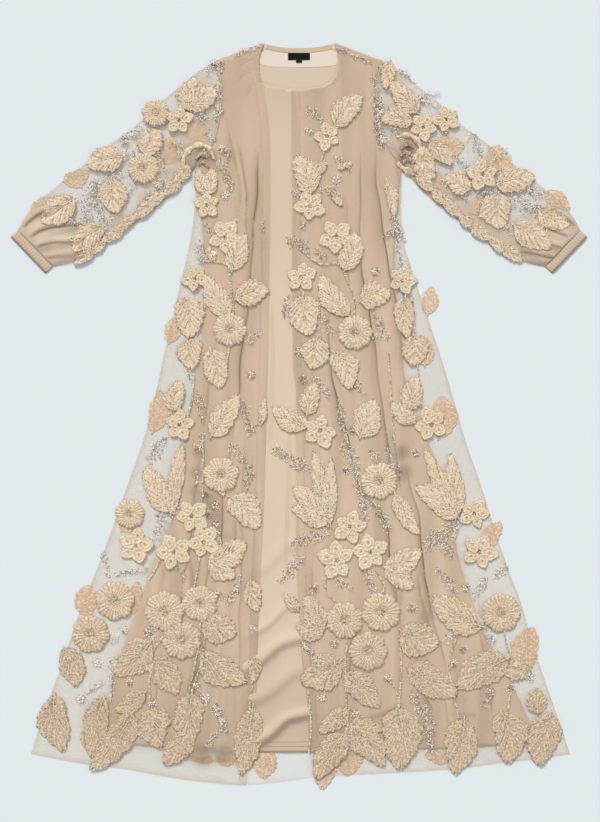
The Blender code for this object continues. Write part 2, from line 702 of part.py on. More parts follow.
def pulled_in(polygon, inset):
    """The polygon with each point moved inwards."""
    run = np.roll(polygon, -1, axis=0) - np.roll(polygon, 1, axis=0)
    run /= np.linalg.norm(run, axis=1)[:, None]
    normal = np.column_stack([run[:, 1], -run[:, 0]])
    turning = np.sum(polygon[:, 0] * np.roll(polygon[:, 1], -1)
                     - np.roll(polygon[:, 0], -1) * polygon[:, 1])
    return polygon - normal * inset * (1 if turning > 0 else -1)


def net_front_outline(side):
    """From the neck point down the neck and front edge, along the hem, up the side."""
    if side == "left":
        neck, edge, column, shoulder, armhole = LEFT_NECK, LEFT_EDGE, 1, mirrored(SHOULDER), mirrored(ARMHOLE)
    else:
        neck, edge, column, shoulder, armhole = RIGHT_NECK, RIGHT_EDGE, 2, SHOULDER, ARMHOLE
    hem = curve_through(NET_HEM)
    if side == "left":
        hem = between(hem, NET_SIDES[-1][1] + 1, edge[-1][0] - 5)[::-1]
    else:
        hem = between(hem, edge[-1][0] + 5, NET_SIDES[-1][2] - 1)
    return np.vstack([
        curve_through(neck)[:-1], curve_through(edge), hem,
        side_curve(NET_SIDES, column)[::-1][:-1],
        curve_through(armhole)[::-1][:-1], curve_through(shoulder)[::-1][:-1],
    ])


def strip_outline(line, width):
    """A strip of even width on one side of a line."""
    line = np.array(line)
    return np.vstack([line, shifted(line, width)[::-1]])


def sleeve_outline(mirror):
    """Armhole, lower edge, cuff seam and upper edge of a sleeve, a seam gap from the body."""
    armhole = curve_through([(x + SEAM_SHIFT, y) for x, y in ARMHOLE])
    upper = curve_through([(x + SEAM_SHIFT, y) for x, y in SLEEVE_UPPER])[1:]
    lower = curve_through([(x + SEAM_SHIFT, y) for x, y in SLEEVE_LOWER])[1:]
    line = np.vstack([armhole, lower, upper[::-1]])
    return np.array(mirrored(line)) if mirror else line


# Pieces of the garment


def make_backs(materials, home):
    outline = body_outline(BACK_NECK, NET_SIDES, NET_HEM, 0.0)
    motifs = motifs_of(BACK_MOTIFS)
    mesh = wall_mesh(outline, level(NET_BACK_Z), level(NET_BACK_Z + WALL), motifs, motifs,
                     flat_under=True, raised=False)
    object_from(mesh, "net_back", materials["net"], home)

    outline = body_outline(BACK_NECK, SATIN_SIDES, SATIN_HEM, 0.6)
    mesh = wall_mesh(outline, level(SATIN_BACK_Z), level(SATIN_BACK_Z + WALL), flat_under=True)
    object_from(mesh, "satin_back", materials["satin"], home)

    outline = body_outline(SCOOP_NECK, SATIN_SIDES, SATIN_HEM, 0.6)
    guides = np.vstack([rise_guides(), ridge_guides(CREASES, CREASE_WIDTH), hem_guides()])
    mesh = wall_mesh(outline, satin_front_under, satin_front_upper, guides=guides)
    object_from(mesh, "satin_front", materials["satin"], home)


def satin_front_upper(points):
    creases = ridge_height(points, CREASES, CREASE_WIDTH)
    return satin_front_under(points) + WALL + np.maximum(creases, turned_hem(points))


def make_neck(materials, home):
    """The facing inside the back neck, its bare label and tab, and the binding along its top."""
    top = curve_through([(x, y - NECK_BINDING_WIDTH) for x, y in BACK_NECK], 12)
    bottom = curve_through([(84, 706), (60, 699), (0, 697), (-60, 699), (-84, 706)], 12)
    outline = np.vstack([top[2:-2], [(88, 722)], bottom, [(-88, 722)]])
    base = SATIN_FRONT_Z
    mesh = wall_mesh(outline, level(base), level(base + WALL), flat_under=True)
    object_from(mesh, "neck_facing", materials["facing"], home)

    line = np.array([(x, y) for x, y in BACK_NECK[::-1]], float)
    line = curve_through(line[1:-1] - (0.0, 0.6), 12)
    band = strip_outline(line, NECK_BINDING_WIDTH - 1.0)
    mesh = wall_mesh(band, level(base), level(base + 1.4), flat_under=True)
    object_from(mesh, "neck_binding", materials["net"], home)

    x, y = LABEL_CENTRE
    label_z = base + LAYER
    for name, width, height, centre_y in (
        ("label", LABEL_WIDTH, LABEL_HEIGHT, y),
        ("size_tab", TAB_WIDTH, TAB_HEIGHT, y - (LABEL_HEIGHT + TAB_HEIGHT) / 2 - GAP),
    ):
        half = np.array([(-width, -height), (width, -height), (width, height), (-width, height)]) / 2
        mesh = slab_mesh((x, centre_y) + half, label_z, label_z + WALL, np.zeros(4))
        object_from(mesh, name, materials["label"], home)


def make_net_front(side, materials, home):
    if side == "left":
        rows, edge, neck, inward = LEFT_MOTIFS, LEFT_EDGE, LEFT_NECK, 1
    else:
        rows, edge, neck, inward = RIGHT_MOTIFS, RIGHT_EDGE, RIGHT_NECK, -1
    outline = net_front_outline(side)
    motifs = motifs_of(rows)
    side_line = side_curve(NET_SIDES, 1 if side == "left" else 2)
    free = [m for m in motifs if distance_to(m.outline, side_line).min() > 8.0]
    turned = turned_edge(edge, inward)

    def upper(points):
        return front_support(points) + WALL + np.maximum(fold_height(points, side), turned(points))

    guides = np.vstack([sink_guides(), rise_guides(), turn_guides(edge, inward)])
    mesh = wall_mesh(outline, front_support, upper, motifs, free, guides, fold_lines(side))
    object_from(mesh, "net_front_" + side, materials["net"], home)

    band = curve_through(neck[:4] if side == "right" else neck, 12)[1:]
    width = np.interp(np.arange(len(band)), (0, len(band) - 1), (13.0, 6.0))
    out = shifted(band, -1.0 * inward)
    outer = band + (out - band) * width[:, None]
    band = np.vstack([band + (out - band) * 0.8, outer[::-1]])
    base = NET_FRONT_Z + LAYER + WALL + 2 * GAP
    mesh = wall_mesh(band, level(base), level(base + WALL), flat_under=True)
    object_from(mesh, "neck_band_" + side, materials["net"], home)


def make_sleeve(side, materials, home, cutters):
    mirror = side == "left"
    outline = sleeve_outline(mirror)
    sign = -1 if mirror else 1
    puckers = [((sign * a[0], a[1]), (sign * b[0], b[1]), h) for a, b, h in PUCKERS]
    rows = LEFT_SLEEVE_MOTIFS if mirror else RIGHT_SLEEVE_MOTIFS
    motifs = motifs_of(rows)

    def upper(points):
        return SLEEVE_TOP + ridge_height(points, puckers, PUCKER_WIDTH)

    mesh = wall_mesh(outline, level(0.0), upper, motifs, (), ridge_guides(puckers, PUCKER_WIDTH),
                     flat_under=True)
    sleeve = object_from(mesh, "sleeve_" + side, materials["net"], home)
    slot_outline = slot_of(SLEEVE_UPPER, SLEEVE_LOWER, sign)
    cut_slot(sleeve, slot_outline, cutters)

    corners = np.array(CUFF_OUTER, float)
    across = (corners[1] - corners[0]) / np.linalg.norm(corners[1] - corners[0])
    inward = np.array([across[1], -across[0]])
    seam = np.array([SLEEVE_UPPER[-1], SLEEVE_LOWER[-1]]) + (SEAM_SHIFT, 0.0) - inward * GAP
    count = CUFF_GATHERS * 2 + 1
    outer = np.linspace(corners[0], corners[1], count)
    inner = np.linspace(seam[0], seam[1], count)
    band = np.vstack([outer, inner[::-1]])
    wave = np.tile((0.0, GATHER_HEIGHT), CUFF_GATHERS + 1)[:count]
    rise = np.concatenate([wave * 0.5, wave[::-1]])
    if mirror:
        band = np.array(mirrored(band))
    mesh = slab_mesh(band, 0.0, SLEEVE_TOP - 0.6, rise)
    cuff = object_from(mesh, "cuff_" + side, materials["net"], home)
    away = -inward * 6.0
    slot = [corners[0] + across * SLOT_INSET + away, corners[1] - across * SLOT_INSET + away]
    slot += [p + inward * (CUFF_WIDTH + 8.0) for p in reversed(slot)]
    cut_slot(cuff, [(sign * p[0], p[1]) for p in slot], cutters)


def slot_of(upper, lower, sign):
    """The outline of the hollow in a sleeve, run past both of its open ends."""
    top = shifted(curve_through(upper), -SLOT_INSET)
    low = shifted(curve_through(lower), SLOT_INSET)
    top_in, low_in = top[0] - (30, -6), low[0] - (40, -30)
    top_out, low_out = top[-1] + (14, -14), low[-1] + (14, -14)
    line = [top_in, *top, top_out, low_out, *low[::-1], low_in]
    return [(sign * p[0], p[1]) for p in line]


def slab_mesh(outline, low, high, rise):
    """A plate whose upper edge points stand higher by rise, with a strip of quads on top."""
    mesh = bmesh.new()
    half = len(outline) // 2
    top = [mesh.verts.new((x * MM, y * MM, (high + r) * MM)) for (x, y), r in zip(outline, rise)]
    bottom = [mesh.verts.new((x * MM, y * MM, low * MM)) for x, y in outline]
    last = len(outline) - 1
    for ring, flip in ((top, False), (bottom, True)):
        for i in range(half - 1):
            quad = [ring[i], ring[i + 1], ring[last - i - 1], ring[last - i]]
            mesh.faces.new(quad[::-1] if flip else quad)
    for i in range(len(outline)):
        j = (i + 1) % len(outline)
        mesh.faces.new([top[j], top[i], bottom[i], bottom[j]])
    bmesh.ops.recalc_face_normals(mesh, faces=mesh.faces)
    return mesh


def cut_slot(solid, outline, cutters):
    """Opens a flat tube from end to end with a plate-shaped cutter."""
    mesh = bmesh.new()
    face = mesh.faces.new([mesh.verts.new((x * MM, y * MM, SLOT_LOW * MM)) for x, y in outline])
    raised = bmesh.ops.extrude_face_region(mesh, geom=[face])
    lift = [v for v in raised["geom"] if isinstance(v, bmesh.types.BMVert)]
    bmesh.ops.translate(mesh, verts=lift, vec=(0, 0, (SLOT_HIGH - SLOT_LOW) * MM))
    bmesh.ops.recalc_face_normals(mesh, faces=mesh.faces)
    cutter = object_from(mesh, solid.name + "_slot", None, cutters)
    cutter.hide_render = True
    cutter.display_type = "WIRE"
    cut = solid.modifiers.new("slot", "BOOLEAN")
    cut.operation = "DIFFERENCE"
    cut.object = cutter


def main():
    clear_scene()
    home = collection_named(COLLECTION)
    cutters = collection_named(CUTTERS)
    cutters.hide_render = True
    materials = {name: material_named(name) for name in COLOURS}
    make_backs(materials, home)
    make_neck(materials, home)
    for side in ("left", "right"):
        make_net_front(side, materials, home)
        make_sleeve(side, materials, home, cutters)


main()
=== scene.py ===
"""An open-fronted abaya in embroidered net over its own satin slip, laid flat and seen from above.

Sizes are in millimetres until a mesh is made. +Y runs from the hem to the neck, +Z up from the
surface. Every cloth panel is a thin sheet on its solid's form, and the corded flowers, leaves,
beads and stitching lie on those sheets.
"""

import math

import bpy
import numpy as np
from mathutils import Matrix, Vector
from mathutils.geometry import delaunay_2d_cdt


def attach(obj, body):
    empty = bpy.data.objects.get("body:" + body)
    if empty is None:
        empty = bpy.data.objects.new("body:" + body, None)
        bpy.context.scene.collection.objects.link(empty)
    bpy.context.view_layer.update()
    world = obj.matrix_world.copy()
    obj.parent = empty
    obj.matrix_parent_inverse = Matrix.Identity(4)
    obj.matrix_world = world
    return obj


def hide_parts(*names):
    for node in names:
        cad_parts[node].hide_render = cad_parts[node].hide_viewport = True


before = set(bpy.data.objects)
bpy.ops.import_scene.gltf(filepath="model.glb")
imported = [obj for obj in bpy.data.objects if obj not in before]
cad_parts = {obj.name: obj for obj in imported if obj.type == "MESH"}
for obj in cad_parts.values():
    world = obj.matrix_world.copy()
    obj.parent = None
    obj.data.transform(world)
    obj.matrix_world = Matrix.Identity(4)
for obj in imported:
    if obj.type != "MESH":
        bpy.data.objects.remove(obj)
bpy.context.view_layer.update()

MM = 0.001
PHOTO_WIDTH, PHOTO_HEIGHT = 600, 822
# The pixel at the garment's origin, and the scale
MIDDLE_X, MIDDLE_Y = 299.0, 416.0
MM_PER_PIXEL = 2.0
LENS, SENSOR = 50.0, 36.0

# Heights of the sheets: the stack of the CAD walls, each sheet near the middle of its wall
LAYER = 1.3
NET_BACK_Z = 0.5
SATIN_BACK_Z = 1.7
SATIN_FRONT_Z = 3.0
NET_FRONT_Z = 5.2
NET_LOW_Z = 1.8
SLEEVE_LOW_Z = 0.4
SLEEVE_TOP_Z = 5.6
FACING_Z, BINDING_Z, LABEL_Z = 2.15, 2.8, 3.1
BAND_LIFT = 0.35
SINK_START, SINK_END = 10.0, 34.0
RISE_LOW, RISE_HIGH = 620.0, 680.0
BAND_WIDTH = 10.0
LABEL_SIZE = (44.0, 14.0)
# Spacing of the points in a sheet
GRID = 9.0
# The appliques' real size over that of the tables
FULLER_LENGTH, FULLER_WIDTH = 1.03, 1.06

# Outlines of the panels, as in the solids
SHOULDER = ((70, 744), (92, 737), (124, 725), (150, 715), (166, 710))
ARMHOLE = ((166, 710), (154, 657), (158, 604), (168, 557), (186, 524), (206, 500))
BACK_NECK = ((-70, 744), (-48, 739), (-26, 736), (0, 735), (26, 736), (48, 739), (70, 744))
SCOOP_NECK = (
    (-70, 744), (-79, 712), (-76, 674), (-54, 661), (-26, 656), (6, 655), (36, 658), (60, 667),
    (74, 686), (78, 714), (70, 744),
)
LEFT_NECK = ((-70, 744), (-81, 712), (-79, 690), (-73, 668))
RIGHT_NECK = ((70, 744), (79, 712), (75, 684), (61, 664), (36, 655), (8, 652), (-16, 651))
LEFT_EDGE = (
    (-73, 668), (-61, 588), (-58, 498), (-59, 332), (-63, 92), (-69, -128), (-76, -288),
    (-81, -408), (-86, -568), (-98, -680), (-105, -738),
)
RIGHT_EDGE = (
    (-16, 651), (-15, 598), (-14, 432), (-14, 232), (-12, 100), (-6, 40), (-6, -100), (-5, -290),
    (1, -402), (6, -490), (16, -560), (20, -640), (36, -722),
)
NET_SIDES = (
    (500, -206, 206), (452, -208, 204), (402, -210, 204), (350, -218, 209), (300, -229, 223),
    (218, -248, 250), (142, -266, 276), (58, -284, 302), (-8, -300, 321), (-62, -316, 337),
    (-124, -338, 359), (-190, -362, 380), (-248, -382, 398), (-310, -406, 420), (-368, -430, 442),
    (-442, -456, 464), (-518, -482, 488), (-592, -510, 514), (-676, -536, 542),
)
SATIN_SIDES = (
    (500, -204, 204), (440, -200, 198), (350, -190, 190), (252, -191, 193), (152, -194, 204),
    (80, -204, 210), (12, -218, 232), (-58, -226, 260), (-128, -236, 284), (-208, -254, 304),
    (-290, -290, 320), (-352, -310, 340), (-434, -341, 370), (-525, -371, 420), (-600, -386, 456),
    (-650, -394, 480),
)
NET_HEM = (
    (-536, -676), (-482, -686), (-414, -698), (-348, -706), (-272, -720), (-196, -731),
    (-105, -738), (-20, -730), (36, -722), (96, -718), (174, -714), (250, -710), (326, -704),
    (402, -694), (480, -685), (542, -676),
)
SATIN_HEM = (
    (-394, -650), (-334, -656), (-222, -666), (-86, -671), (22, -671), (140, -668), (250, -664),
    (355, -660), (480, -650),
)
SLEEVE_UPPER = (
    (166, 710), (200, 691), (230, 666), (277, 629), (321, 586), (376, 545), (429, 504), (484, 460),
    (520, 430), (545, 402), (563, 371),
)
SLEEVE_LOWER = (
    (206, 498), (240, 457), (273, 427), (317, 393), (361, 360), (412, 327), (450, 308), (492, 298),
)
CUFF_OUTER = ((576, 358), (506, 285))

# Soft puckers of a sleeve, on the viewer's right: two ends and the height of each
PUCKERS = (
    ((204, 508), (262, 522), 3.0), ((210, 494), (286, 490), 2.6), ((226, 478), (330, 436), 1.8),
    ((556, 366), (470, 404), 2.2), ((540, 350), (446, 376), 2.6), ((526, 334), (428, 352), 2.4),
    ((512, 318), (420, 330), 2.0), ((500, 306), (430, 318), 1.6), ((566, 376), (500, 420), 1.6),
)

# Appliques: kind, x, y, length, width, angle in degrees. On the viewer's left front
LEFT_MOTIFS = (
    ("leaf", -194, 466, 56, 30, 113), ("leaf", -177, 468, 54, 30, 80),
    ("blossom", -184, 420, 52, 52, 10), ("leaf", -122, 328, 78, 42, 72),
    ("blossom", -148, 356, 62, 62, 0), ("blossom", -208, 274, 52, 52, 40),
    ("leaf", -166, 240, 96, 44, 117), ("leaf", -94, 246, 68, 46, 12),
    ("daisy", -138, 172, 66, 66, 0), ("leaf", -222, 196, 82, 56, -80),
    ("leaf", -216, 124, 62, 46, -100), ("leaf", -166, 94, 80, 48, -75),
    ("leaf", -248, 42, 62, 38, 75), ("blossom", -238, -18, 58, 58, 20),
    ("leaf", -244, -124, 140, 30, 78), ("leaf", -282, -146, 104, 46, 120),
    ("leaf", -148, 2, 98, 44, 55), ("daisy", -156, -118, 70, 70, 0),
    ("leaf", -106, -190, 84, 56, -50), ("blossom", -214, -200, 62, 62, 30),
    ("blossom", -250, -272, 66, 66, 0), ("blossom", -190, -252, 62, 62, 50),
    ("leaf", -140, -272, 80, 48, 27), ("leaf", -154, -306, 62, 40, -38),
    ("leaf", -92, -360, 62, 34, -80), ("daisy", -338, -196, 58, 58, 0),
    ("blossom", -326, -260, 64, 64, 15), ("daisy", -368, -370, 76, 76, 0),
    ("daisy", -416, -436, 74, 74, 0), ("daisy", -198, -374, 70, 70, 0),
    ("daisy", -268, -390, 78, 78, 0), ("daisy", -234, -448, 76, 76, 0),
    ("leaf", -158, -422, 70, 58, -20), ("leaf", -454, -502, 80, 48, -75),
    ("leaf", -330, -486, 98, 58, -140), ("leaf", -266, -518, 88, 52, -53),
    ("leaf", -152, -506, 106, 56, -33), ("leaf", -336, -572, 70, 34, -149),
    ("leaf", -484, -616, 112, 58, -82), ("leaf", -404, -622, 122, 46, -102),
    ("leaf", -372, -652, 142, 54, -126), ("leaf", -278, -602, 50, 38, -30),
    ("leaf", -288, -626, 76, 50, -76), ("leaf", -306, -616, 58, 34, -109),
    ("leaf", -218, -606, 104, 56, -92), ("leaf", -244, -664, 82, 46, -128),
    ("leaf", -104, -650, 136, 50, -100), ("leaf", -90, -506, 50, 26, -95),
)
RIGHT_MOTIFS = (
    ("leaf", 96, 612, 80, 46, 51), ("blossom", 56, 558, 54, 54, 0), ("leaf", 12, 484, 80, 50, 114),
    ("blossom", 22, 418, 58, 58, 30), ("leaf", 104, 328, 78, 42, 75),
    ("blossom", 74, 358, 62, 62, 10), ("blossom", 4, 276, 58, 58, 0),
    ("leaf", 68, 240, 98, 42, 121), ("leaf", 152, 242, 62, 50, 15), ("daisy", 112, 166, 68, 68, 0),
    ("leaf", 12, 200, 82, 58, -85), ("leaf", 30, 124, 62, 54, -100), ("leaf", 90, 92, 80, 48, -65),
    ("leaf", 22, 36, 66, 36, 75), ("leaf", -20, -4, 80, 40, 150), ("blossom", 42, -30, 66, 66, 25),
    ("leaf", 44, -142, 148, 30, 101), ("leaf", 62, -148, 130, 28, 88),
    ("leaf", 24, -176, 100, 44, 132), ("leaf", 20, -198, 76, 40, 155),
    ("blossom", 102, -222, 62, 62, 0), ("blossom", 76, -288, 70, 70, 40),
    ("blossom", 142, -272, 66, 66, 15), ("leaf", 210, -288, 78, 44, 24),
    ("leaf", 202, -322, 66, 40, -38), ("daisy", 160, -130, 72, 72, 0),
    ("leaf", 136, -4, 80, 52, 70), ("leaf", 214, -198, 92, 32, -62),
    ("leaf", 284, -132, 150, 32, 115), ("leaf", 308, -138, 128, 34, 97),
    ("leaf", 276, -168, 104, 46, 142), ("blossom", 264, -18, 68, 68, 20),
    ("leaf", 226, 46, 68, 40, 82), ("leaf", 206, 6, 62, 32, 137),
    ("blossom", 350, -196, 60, 60, 0), ("blossom", 360, -272, 70, 70, 30),
    ("leaf", 30, -390, 72, 40, 120), ("leaf", 22, -424, 58, 42, 176),
    ("leaf", -16, -372, 42, 24, 134), ("daisy", 91, -408, 72, 72, 0),
    ("daisy", 164, -392, 76, 76, 0), ("daisy", 138, -470, 76, 76, 0),
    ("leaf", 240, -446, 80, 64, -18), ("leaf", 314, -394, 116, 58, 150),
    ("daisy", 404, -394, 76, 76, 0), ("leaf", 44, -512, 90, 62, -147),
    ("leaf", 128, -546, 96, 48, -43), ("leaf", 266, -532, 112, 56, -32),
    ("leaf", 364, -512, 116, 62, -150), ("leaf", 68, -608, 74, 34, -140),
    ("leaf", 60, -678, 104, 52, -120), ("leaf", 134, -622, 68, 34, -5),
    ("leaf", 138, -658, 104, 50, -48), ("leaf", 108, -644, 60, 28, -75),
    ("leaf", 204, -644, 122, 74, -90), ("leaf", 322, -660, 112, 60, -100),
    ("leaf", 416, -642, 102, 64, -85), ("leaf", 476, -568, 48, 40, 90),
    ("leaf", 488, -646, 106, 60, -102), ("leaf", 436, -506, 54, 40, -165),
    ("blossom", 206, 270, 54, 54, 0), ("leaf", 212, 196, 82, 38, -85),
    ("leaf", 230, 130, 60, 50, -95), ("leaf", 184, 434, 72, 22, -80),
)
LEFT_SLEEVE_MOTIFS = (
    ("leaf", -228, 632, 44, 26, 115), ("leaf", -215, 644, 66, 44, 84),
    ("leaf", -192, 634, 66, 50, 37), ("blossom", -240, 590, 54, 54, 0),
    ("daisy", -286, 604, 54, 54, 0), ("leaf", -294, 548, 58, 44, 60),
    ("leaf", -388, 510, 72, 50, 195), ("daisy", -310, 494, 62, 62, 0),
    ("leaf", -372, 438, 70, 52, -85), ("leaf", -482, 410, 80, 50, -143),
    ("leaf", -424, 356, 76, 44, -140),
)
RIGHT_SLEEVE_MOTIFS = (
    ("leaf", 176, 680, 58, 26, -100), ("leaf", 210, 638, 82, 42, 132),
    ("leaf", 194, 592, 62, 36, 178), ("blossom", 248, 576, 54, 54, 0),
    ("blossom", 294, 592, 54, 54, 30), ("leaf", 284, 524, 62, 34, -45),
    ("leaf", 252, 502, 68, 44, -70), ("blossom", 366, 482, 60, 60, 10),
    ("leaf", 316, 466, 56, 40, 150), ("leaf", 432, 472, 78, 48, 10),
    ("leaf", 396, 408, 70, 60, -85), ("leaf", 508, 394, 70, 40, -30),
    ("leaf", 466, 358, 84, 50, -33),
)

# The tables from here to COLOURS are in pixels of the photograph, and only lengths are in mm.

# Each sheet's folds: the lip's side, height and width in mm, how dark the painted shade in the
# hollow beside the lip is, which also sets the painted highlight on the lip, and the points down
# the fold.
# A fold as wide as SOFT_WIDTH or wider is a soft crease.
SOFT_WIDTH = 26
FOLDS = {
    "left": (
        (1, 2.8, 24, 1.00, ((258, 138), (257, 200), (253, 250), (250, 283), (248, 316), (243, 349),
         (239, 395), (233, 428), (231, 450))),
        (1, 2.4, 20, 1.00, ((231, 446), (224, 494), (222, 536), (212, 565))),
        (1, 2.2, 20, 1.00, ((209, 556), (205, 617), (202, 656), (190, 692), (185, 735))),
        (-1, 1.2, 14, 0.68, ((236, 140), (243, 176), (246, 206), (247, 240))),
        (1, 1.0, 14, 0.61, ((229, 128), (236, 160), (240, 190), (240, 224))),
        (1, 1.8, 18, 0.95, ((203, 436), (201, 462), (197, 487), (192, 506))),
        (1, 1.4, 12, 0.60, ((184, 752), (198, 757), (214, 753), (226, 758), (242, 756))),
        (-1, 1.2, 12, 0.50, ((192, 748), (206, 751), (220, 749), (236, 752))),
        (1, 0.8, 10, 0.80, ((236, 517), (236, 528), (235, 541))),
        (-1, 1.4, 30, 0.40, ((186, 560), (188, 590), (183, 616))),
        (1, 1.4, 30, 0.40, ((172, 552), (165, 590), (160, 622))),
        (1, 1.2, 28, 0.35, ((226, 640), (222, 690), (224, 740))),
        (1, 1.6, 18, 0.81, ((200, 448), (196, 496), (190, 546), (183, 592), (178, 650))),
        (1, 1.0, 14, 0.47, ((221, 300), (216, 350), (208, 400), (201, 440))),
        (-1, 1.2, 16, 0.54, ((243, 440), (241, 520), (240, 600), (238, 690))),
        (1, 1.0, 14, 0.54, ((166, 590), (160, 650), (154, 730))),
        (1, 0.7, 8, 0.54, ((257, 58), (248, 61), (238, 68))),
        (1, 0.7, 8, 0.54, ((257, 68), (247, 73), (238, 82))),
        (1, 0.6, 8, 0.41, ((258, 78), (251, 86), (245, 98))),
    ),
    "right": (
        (1, 2.0, 20, 0.94, ((359, 146), (361, 200), (361, 266), (369, 307), (376, 349), (379, 390),
         (383, 411), (390, 453), (398, 490))),
        (1, 1.8, 18, 0.94, ((377, 146), (376, 183), (384, 233), (392, 283), (400, 332),
         (403, 372))),
        (1, 2.0, 20, 1.00, ((328, 295), (331, 357), (337, 399), (348, 436), (360, 486), (384, 519),
         (391, 561), (398, 600), (400, 640))),
        (1, 1.8, 20, 0.95, ((404, 458), (408, 474), (413, 492), (419, 515), (421, 550), (424, 572),
         (428, 588), (431, 606), (438, 636), (449, 682))),
        (1, 1.4, 14, 0.80, ((390, 426), (394, 445), (397, 462), (400, 489))),
        (1, 1.0, 12, 0.70, ((416, 572), (419, 590), (424, 604), (429, 622), (437, 642))),
        (1, 1.2, 16, 0.60, ((385, 518), (388, 547), (391, 562), (390, 577), (395, 594),
         (403, 616))),
        (1, 1.4, 14, 0.70, ((423, 692), (428, 700), (434, 710))),
        (1, 1.2, 12, 0.65, ((446, 698), (447, 712), (449, 730))),
        (-1, 1.2, 12, 0.60, ((450, 714), (462, 716), (477, 715))),
        (-1, 1.0, 10, 0.50, ((449, 702), (460, 701), (472, 697))),
        (1, 1.4, 30, 0.40, ((366, 716), (384, 709), (400, 697))),
        (-1, 1.0, 14, 0.47, ((392, 130), (396, 170), (404, 220), (413, 280))),
        (1, 1.0, 16, 0.41, ((346, 190), (348, 250), (352, 300))),
        (1, 1.0, 16, 0.54, ((352, 600), (350, 660), (346, 740))),
        (-1, 1.2, 16, 0.54, ((476, 590), (482, 650), (492, 720))),
        (1, 0.8, 12, 0.41, ((312, 560), (310, 620), (312, 700))),
    ),
    "sleeve_left": (
        (1, 3.0, 16, 0.90, ((219, 150), (208, 147), (198, 148), (190, 158), (184, 170))),
        (-1, 2.2, 12, 0.81, ((214, 158), (203, 156), (196, 164), (190, 176))),
        (1, 1.6, 14, 0.41, ((206, 138), (188, 142), (170, 152), (160, 160))),
        (1, 3.2, 26, 0.9, ((19, 228), (40, 212), (66, 203))),
        (1, 3.2, 26, 0.9, ((26, 238), (50, 226), (84, 222))),
        (1, 3.2, 26, 0.9, ((33, 247), (56, 240), (88, 238))),
        (1, 2.6, 26, 0.8, ((40, 256), (60, 254), (84, 252))),
        (1, 2.2, 26, 0.7, ((47, 264), (62, 264), (78, 262))),
    ),
    "sleeve_right": (
        (-1, 3.0, 16, 0.90, ((386, 142), (396, 148), (406, 156), (418, 164))),
        (-1, 2.4, 12, 0.90, ((394, 156), (402, 162), (412, 170), (424, 176))),
        (1, 1.6, 14, 0.41, ((392, 134), (410, 138), (430, 150), (444, 162))),
        (-1, 3.2, 26, 0.9, ((578, 226), (560, 212), (534, 204))),
        (-1, 3.2, 26, 0.9, ((572, 236), (548, 226), (516, 222))),
        (-1, 3.2, 26, 0.9, ((566, 246), (544, 240), (512, 236))),
        (-1, 2.6, 26, 0.8, ((560, 256), (540, 252), (516, 248))),
        (-1, 2.2, 26, 0.7, ((553, 264), (538, 262), (520, 259))),
    ),
    "satin": (
        (1, 3.0, 50, 0.75, ((236, 672), (258, 660), (278, 644), (304, 634), (324, 632))),
        (1, 5.0, 46, 1.0, ((236, 746), (256, 741), (272, 731), (288, 717), (316, 708))),
        (1, 2.2, 60, 0.4, ((240, 702), (262, 694), (290, 672), (322, 660))),
        (1, 1.6, 54, 0.3, ((238, 574), (262, 566), (286, 546), (318, 540))),
        (1, 1.8, 36, 0.35, ((240, 640), (264, 626), (284, 606), (300, 600))),
        (-1, 0.8, 28, 0.25, ((284, 420), (286, 480), (282, 540), (284, 590))),
        (1, 0.8, 28, 0.25, ((274, 300), (277, 380), (273, 450))),
    ),
}
# Each sheet's deep hollows, darkened with painted shade: x, y, radius in mm and how dark
HOLLOWS = {
    "sleeve_right": (
        (407, 151, 17, 1.0), (402, 160, 12, 0.9), (416, 159, 10, 0.6),
    ),
    "sleeve_left": (
        (201, 160, 14, 1.0), (207, 164, 10, 0.7), (191, 168, 9, 0.6),
    ),
    "left": (
        (199, 452, 13, 0.45), (197, 472, 13, 0.5), (195, 490, 12, 0.4), (208, 502, 22, 0.32),
        (217, 517, 20, 0.36), (225, 535, 12, 0.3), (203, 755, 22, 0.5), (222, 754, 20, 0.5),
        (186, 752, 14, 0.4), (238, 756, 14, 0.3), (212, 158, 12, 0.6), (214, 172, 9, 0.4),
    ),
    "right": (
        (401, 452, 16, 0.45), (404, 472, 17, 0.45), (396, 598, 14, 0.35), (426, 615, 13, 0.35),
        (398, 150, 12, 0.6),
    ),
}
# Where each sleeve's net is doubled or gathered: x, y, radius in mm and how dense
DOUBLED = {
    "sleeve_right": (
        (388, 80, 30, 0.5), (392, 115, 34, 0.5), (400, 145, 30, 0.5), (418, 175, 34, 0.6),
        (440, 195, 34, 0.55), (462, 212, 32, 0.55), (486, 228, 34, 0.6), (510, 238, 38, 0.7),
        (540, 238, 46, 0.85), (562, 236, 40, 0.9), (430, 150, 24, 0.35),
    ),
    "sleeve_left": (
        (200, 85, 28, 0.4), (212, 120, 28, 0.45), (195, 140, 32, 0.55), (178, 160, 36, 0.55),
        (160, 182, 32, 0.5), (148, 198, 22, 0.5), (120, 222, 26, 0.45), (40, 232, 48, 0.9),
        (62, 240, 42, 0.85), (86, 236, 28, 0.6), (30, 215, 28, 0.5),
    ),
}
# Bunched rolls and tucks of applique at the underarms: the points that each follows
TUCKS_LEFT = (((196, 160), (202, 155), (208, 159)), ((198, 166), (204, 163), (209, 168)))
TUCKS_RIGHT = (
    ((401, 150), (407, 145), (413, 149)), ((400, 157), (406, 153), (413, 157)),
    ((401, 164), (408, 161), (415, 165)),
)
ROLLS_LEFT = (((183, 168), (185, 157), (193, 148), (203, 146), (211, 151), (214, 160)),)
ROLLS_RIGHT = (
    ((396, 138), (407, 136), (417, 142), (421, 154), (418, 166)),
    ((397, 164), (405, 170), (414, 176)),
)

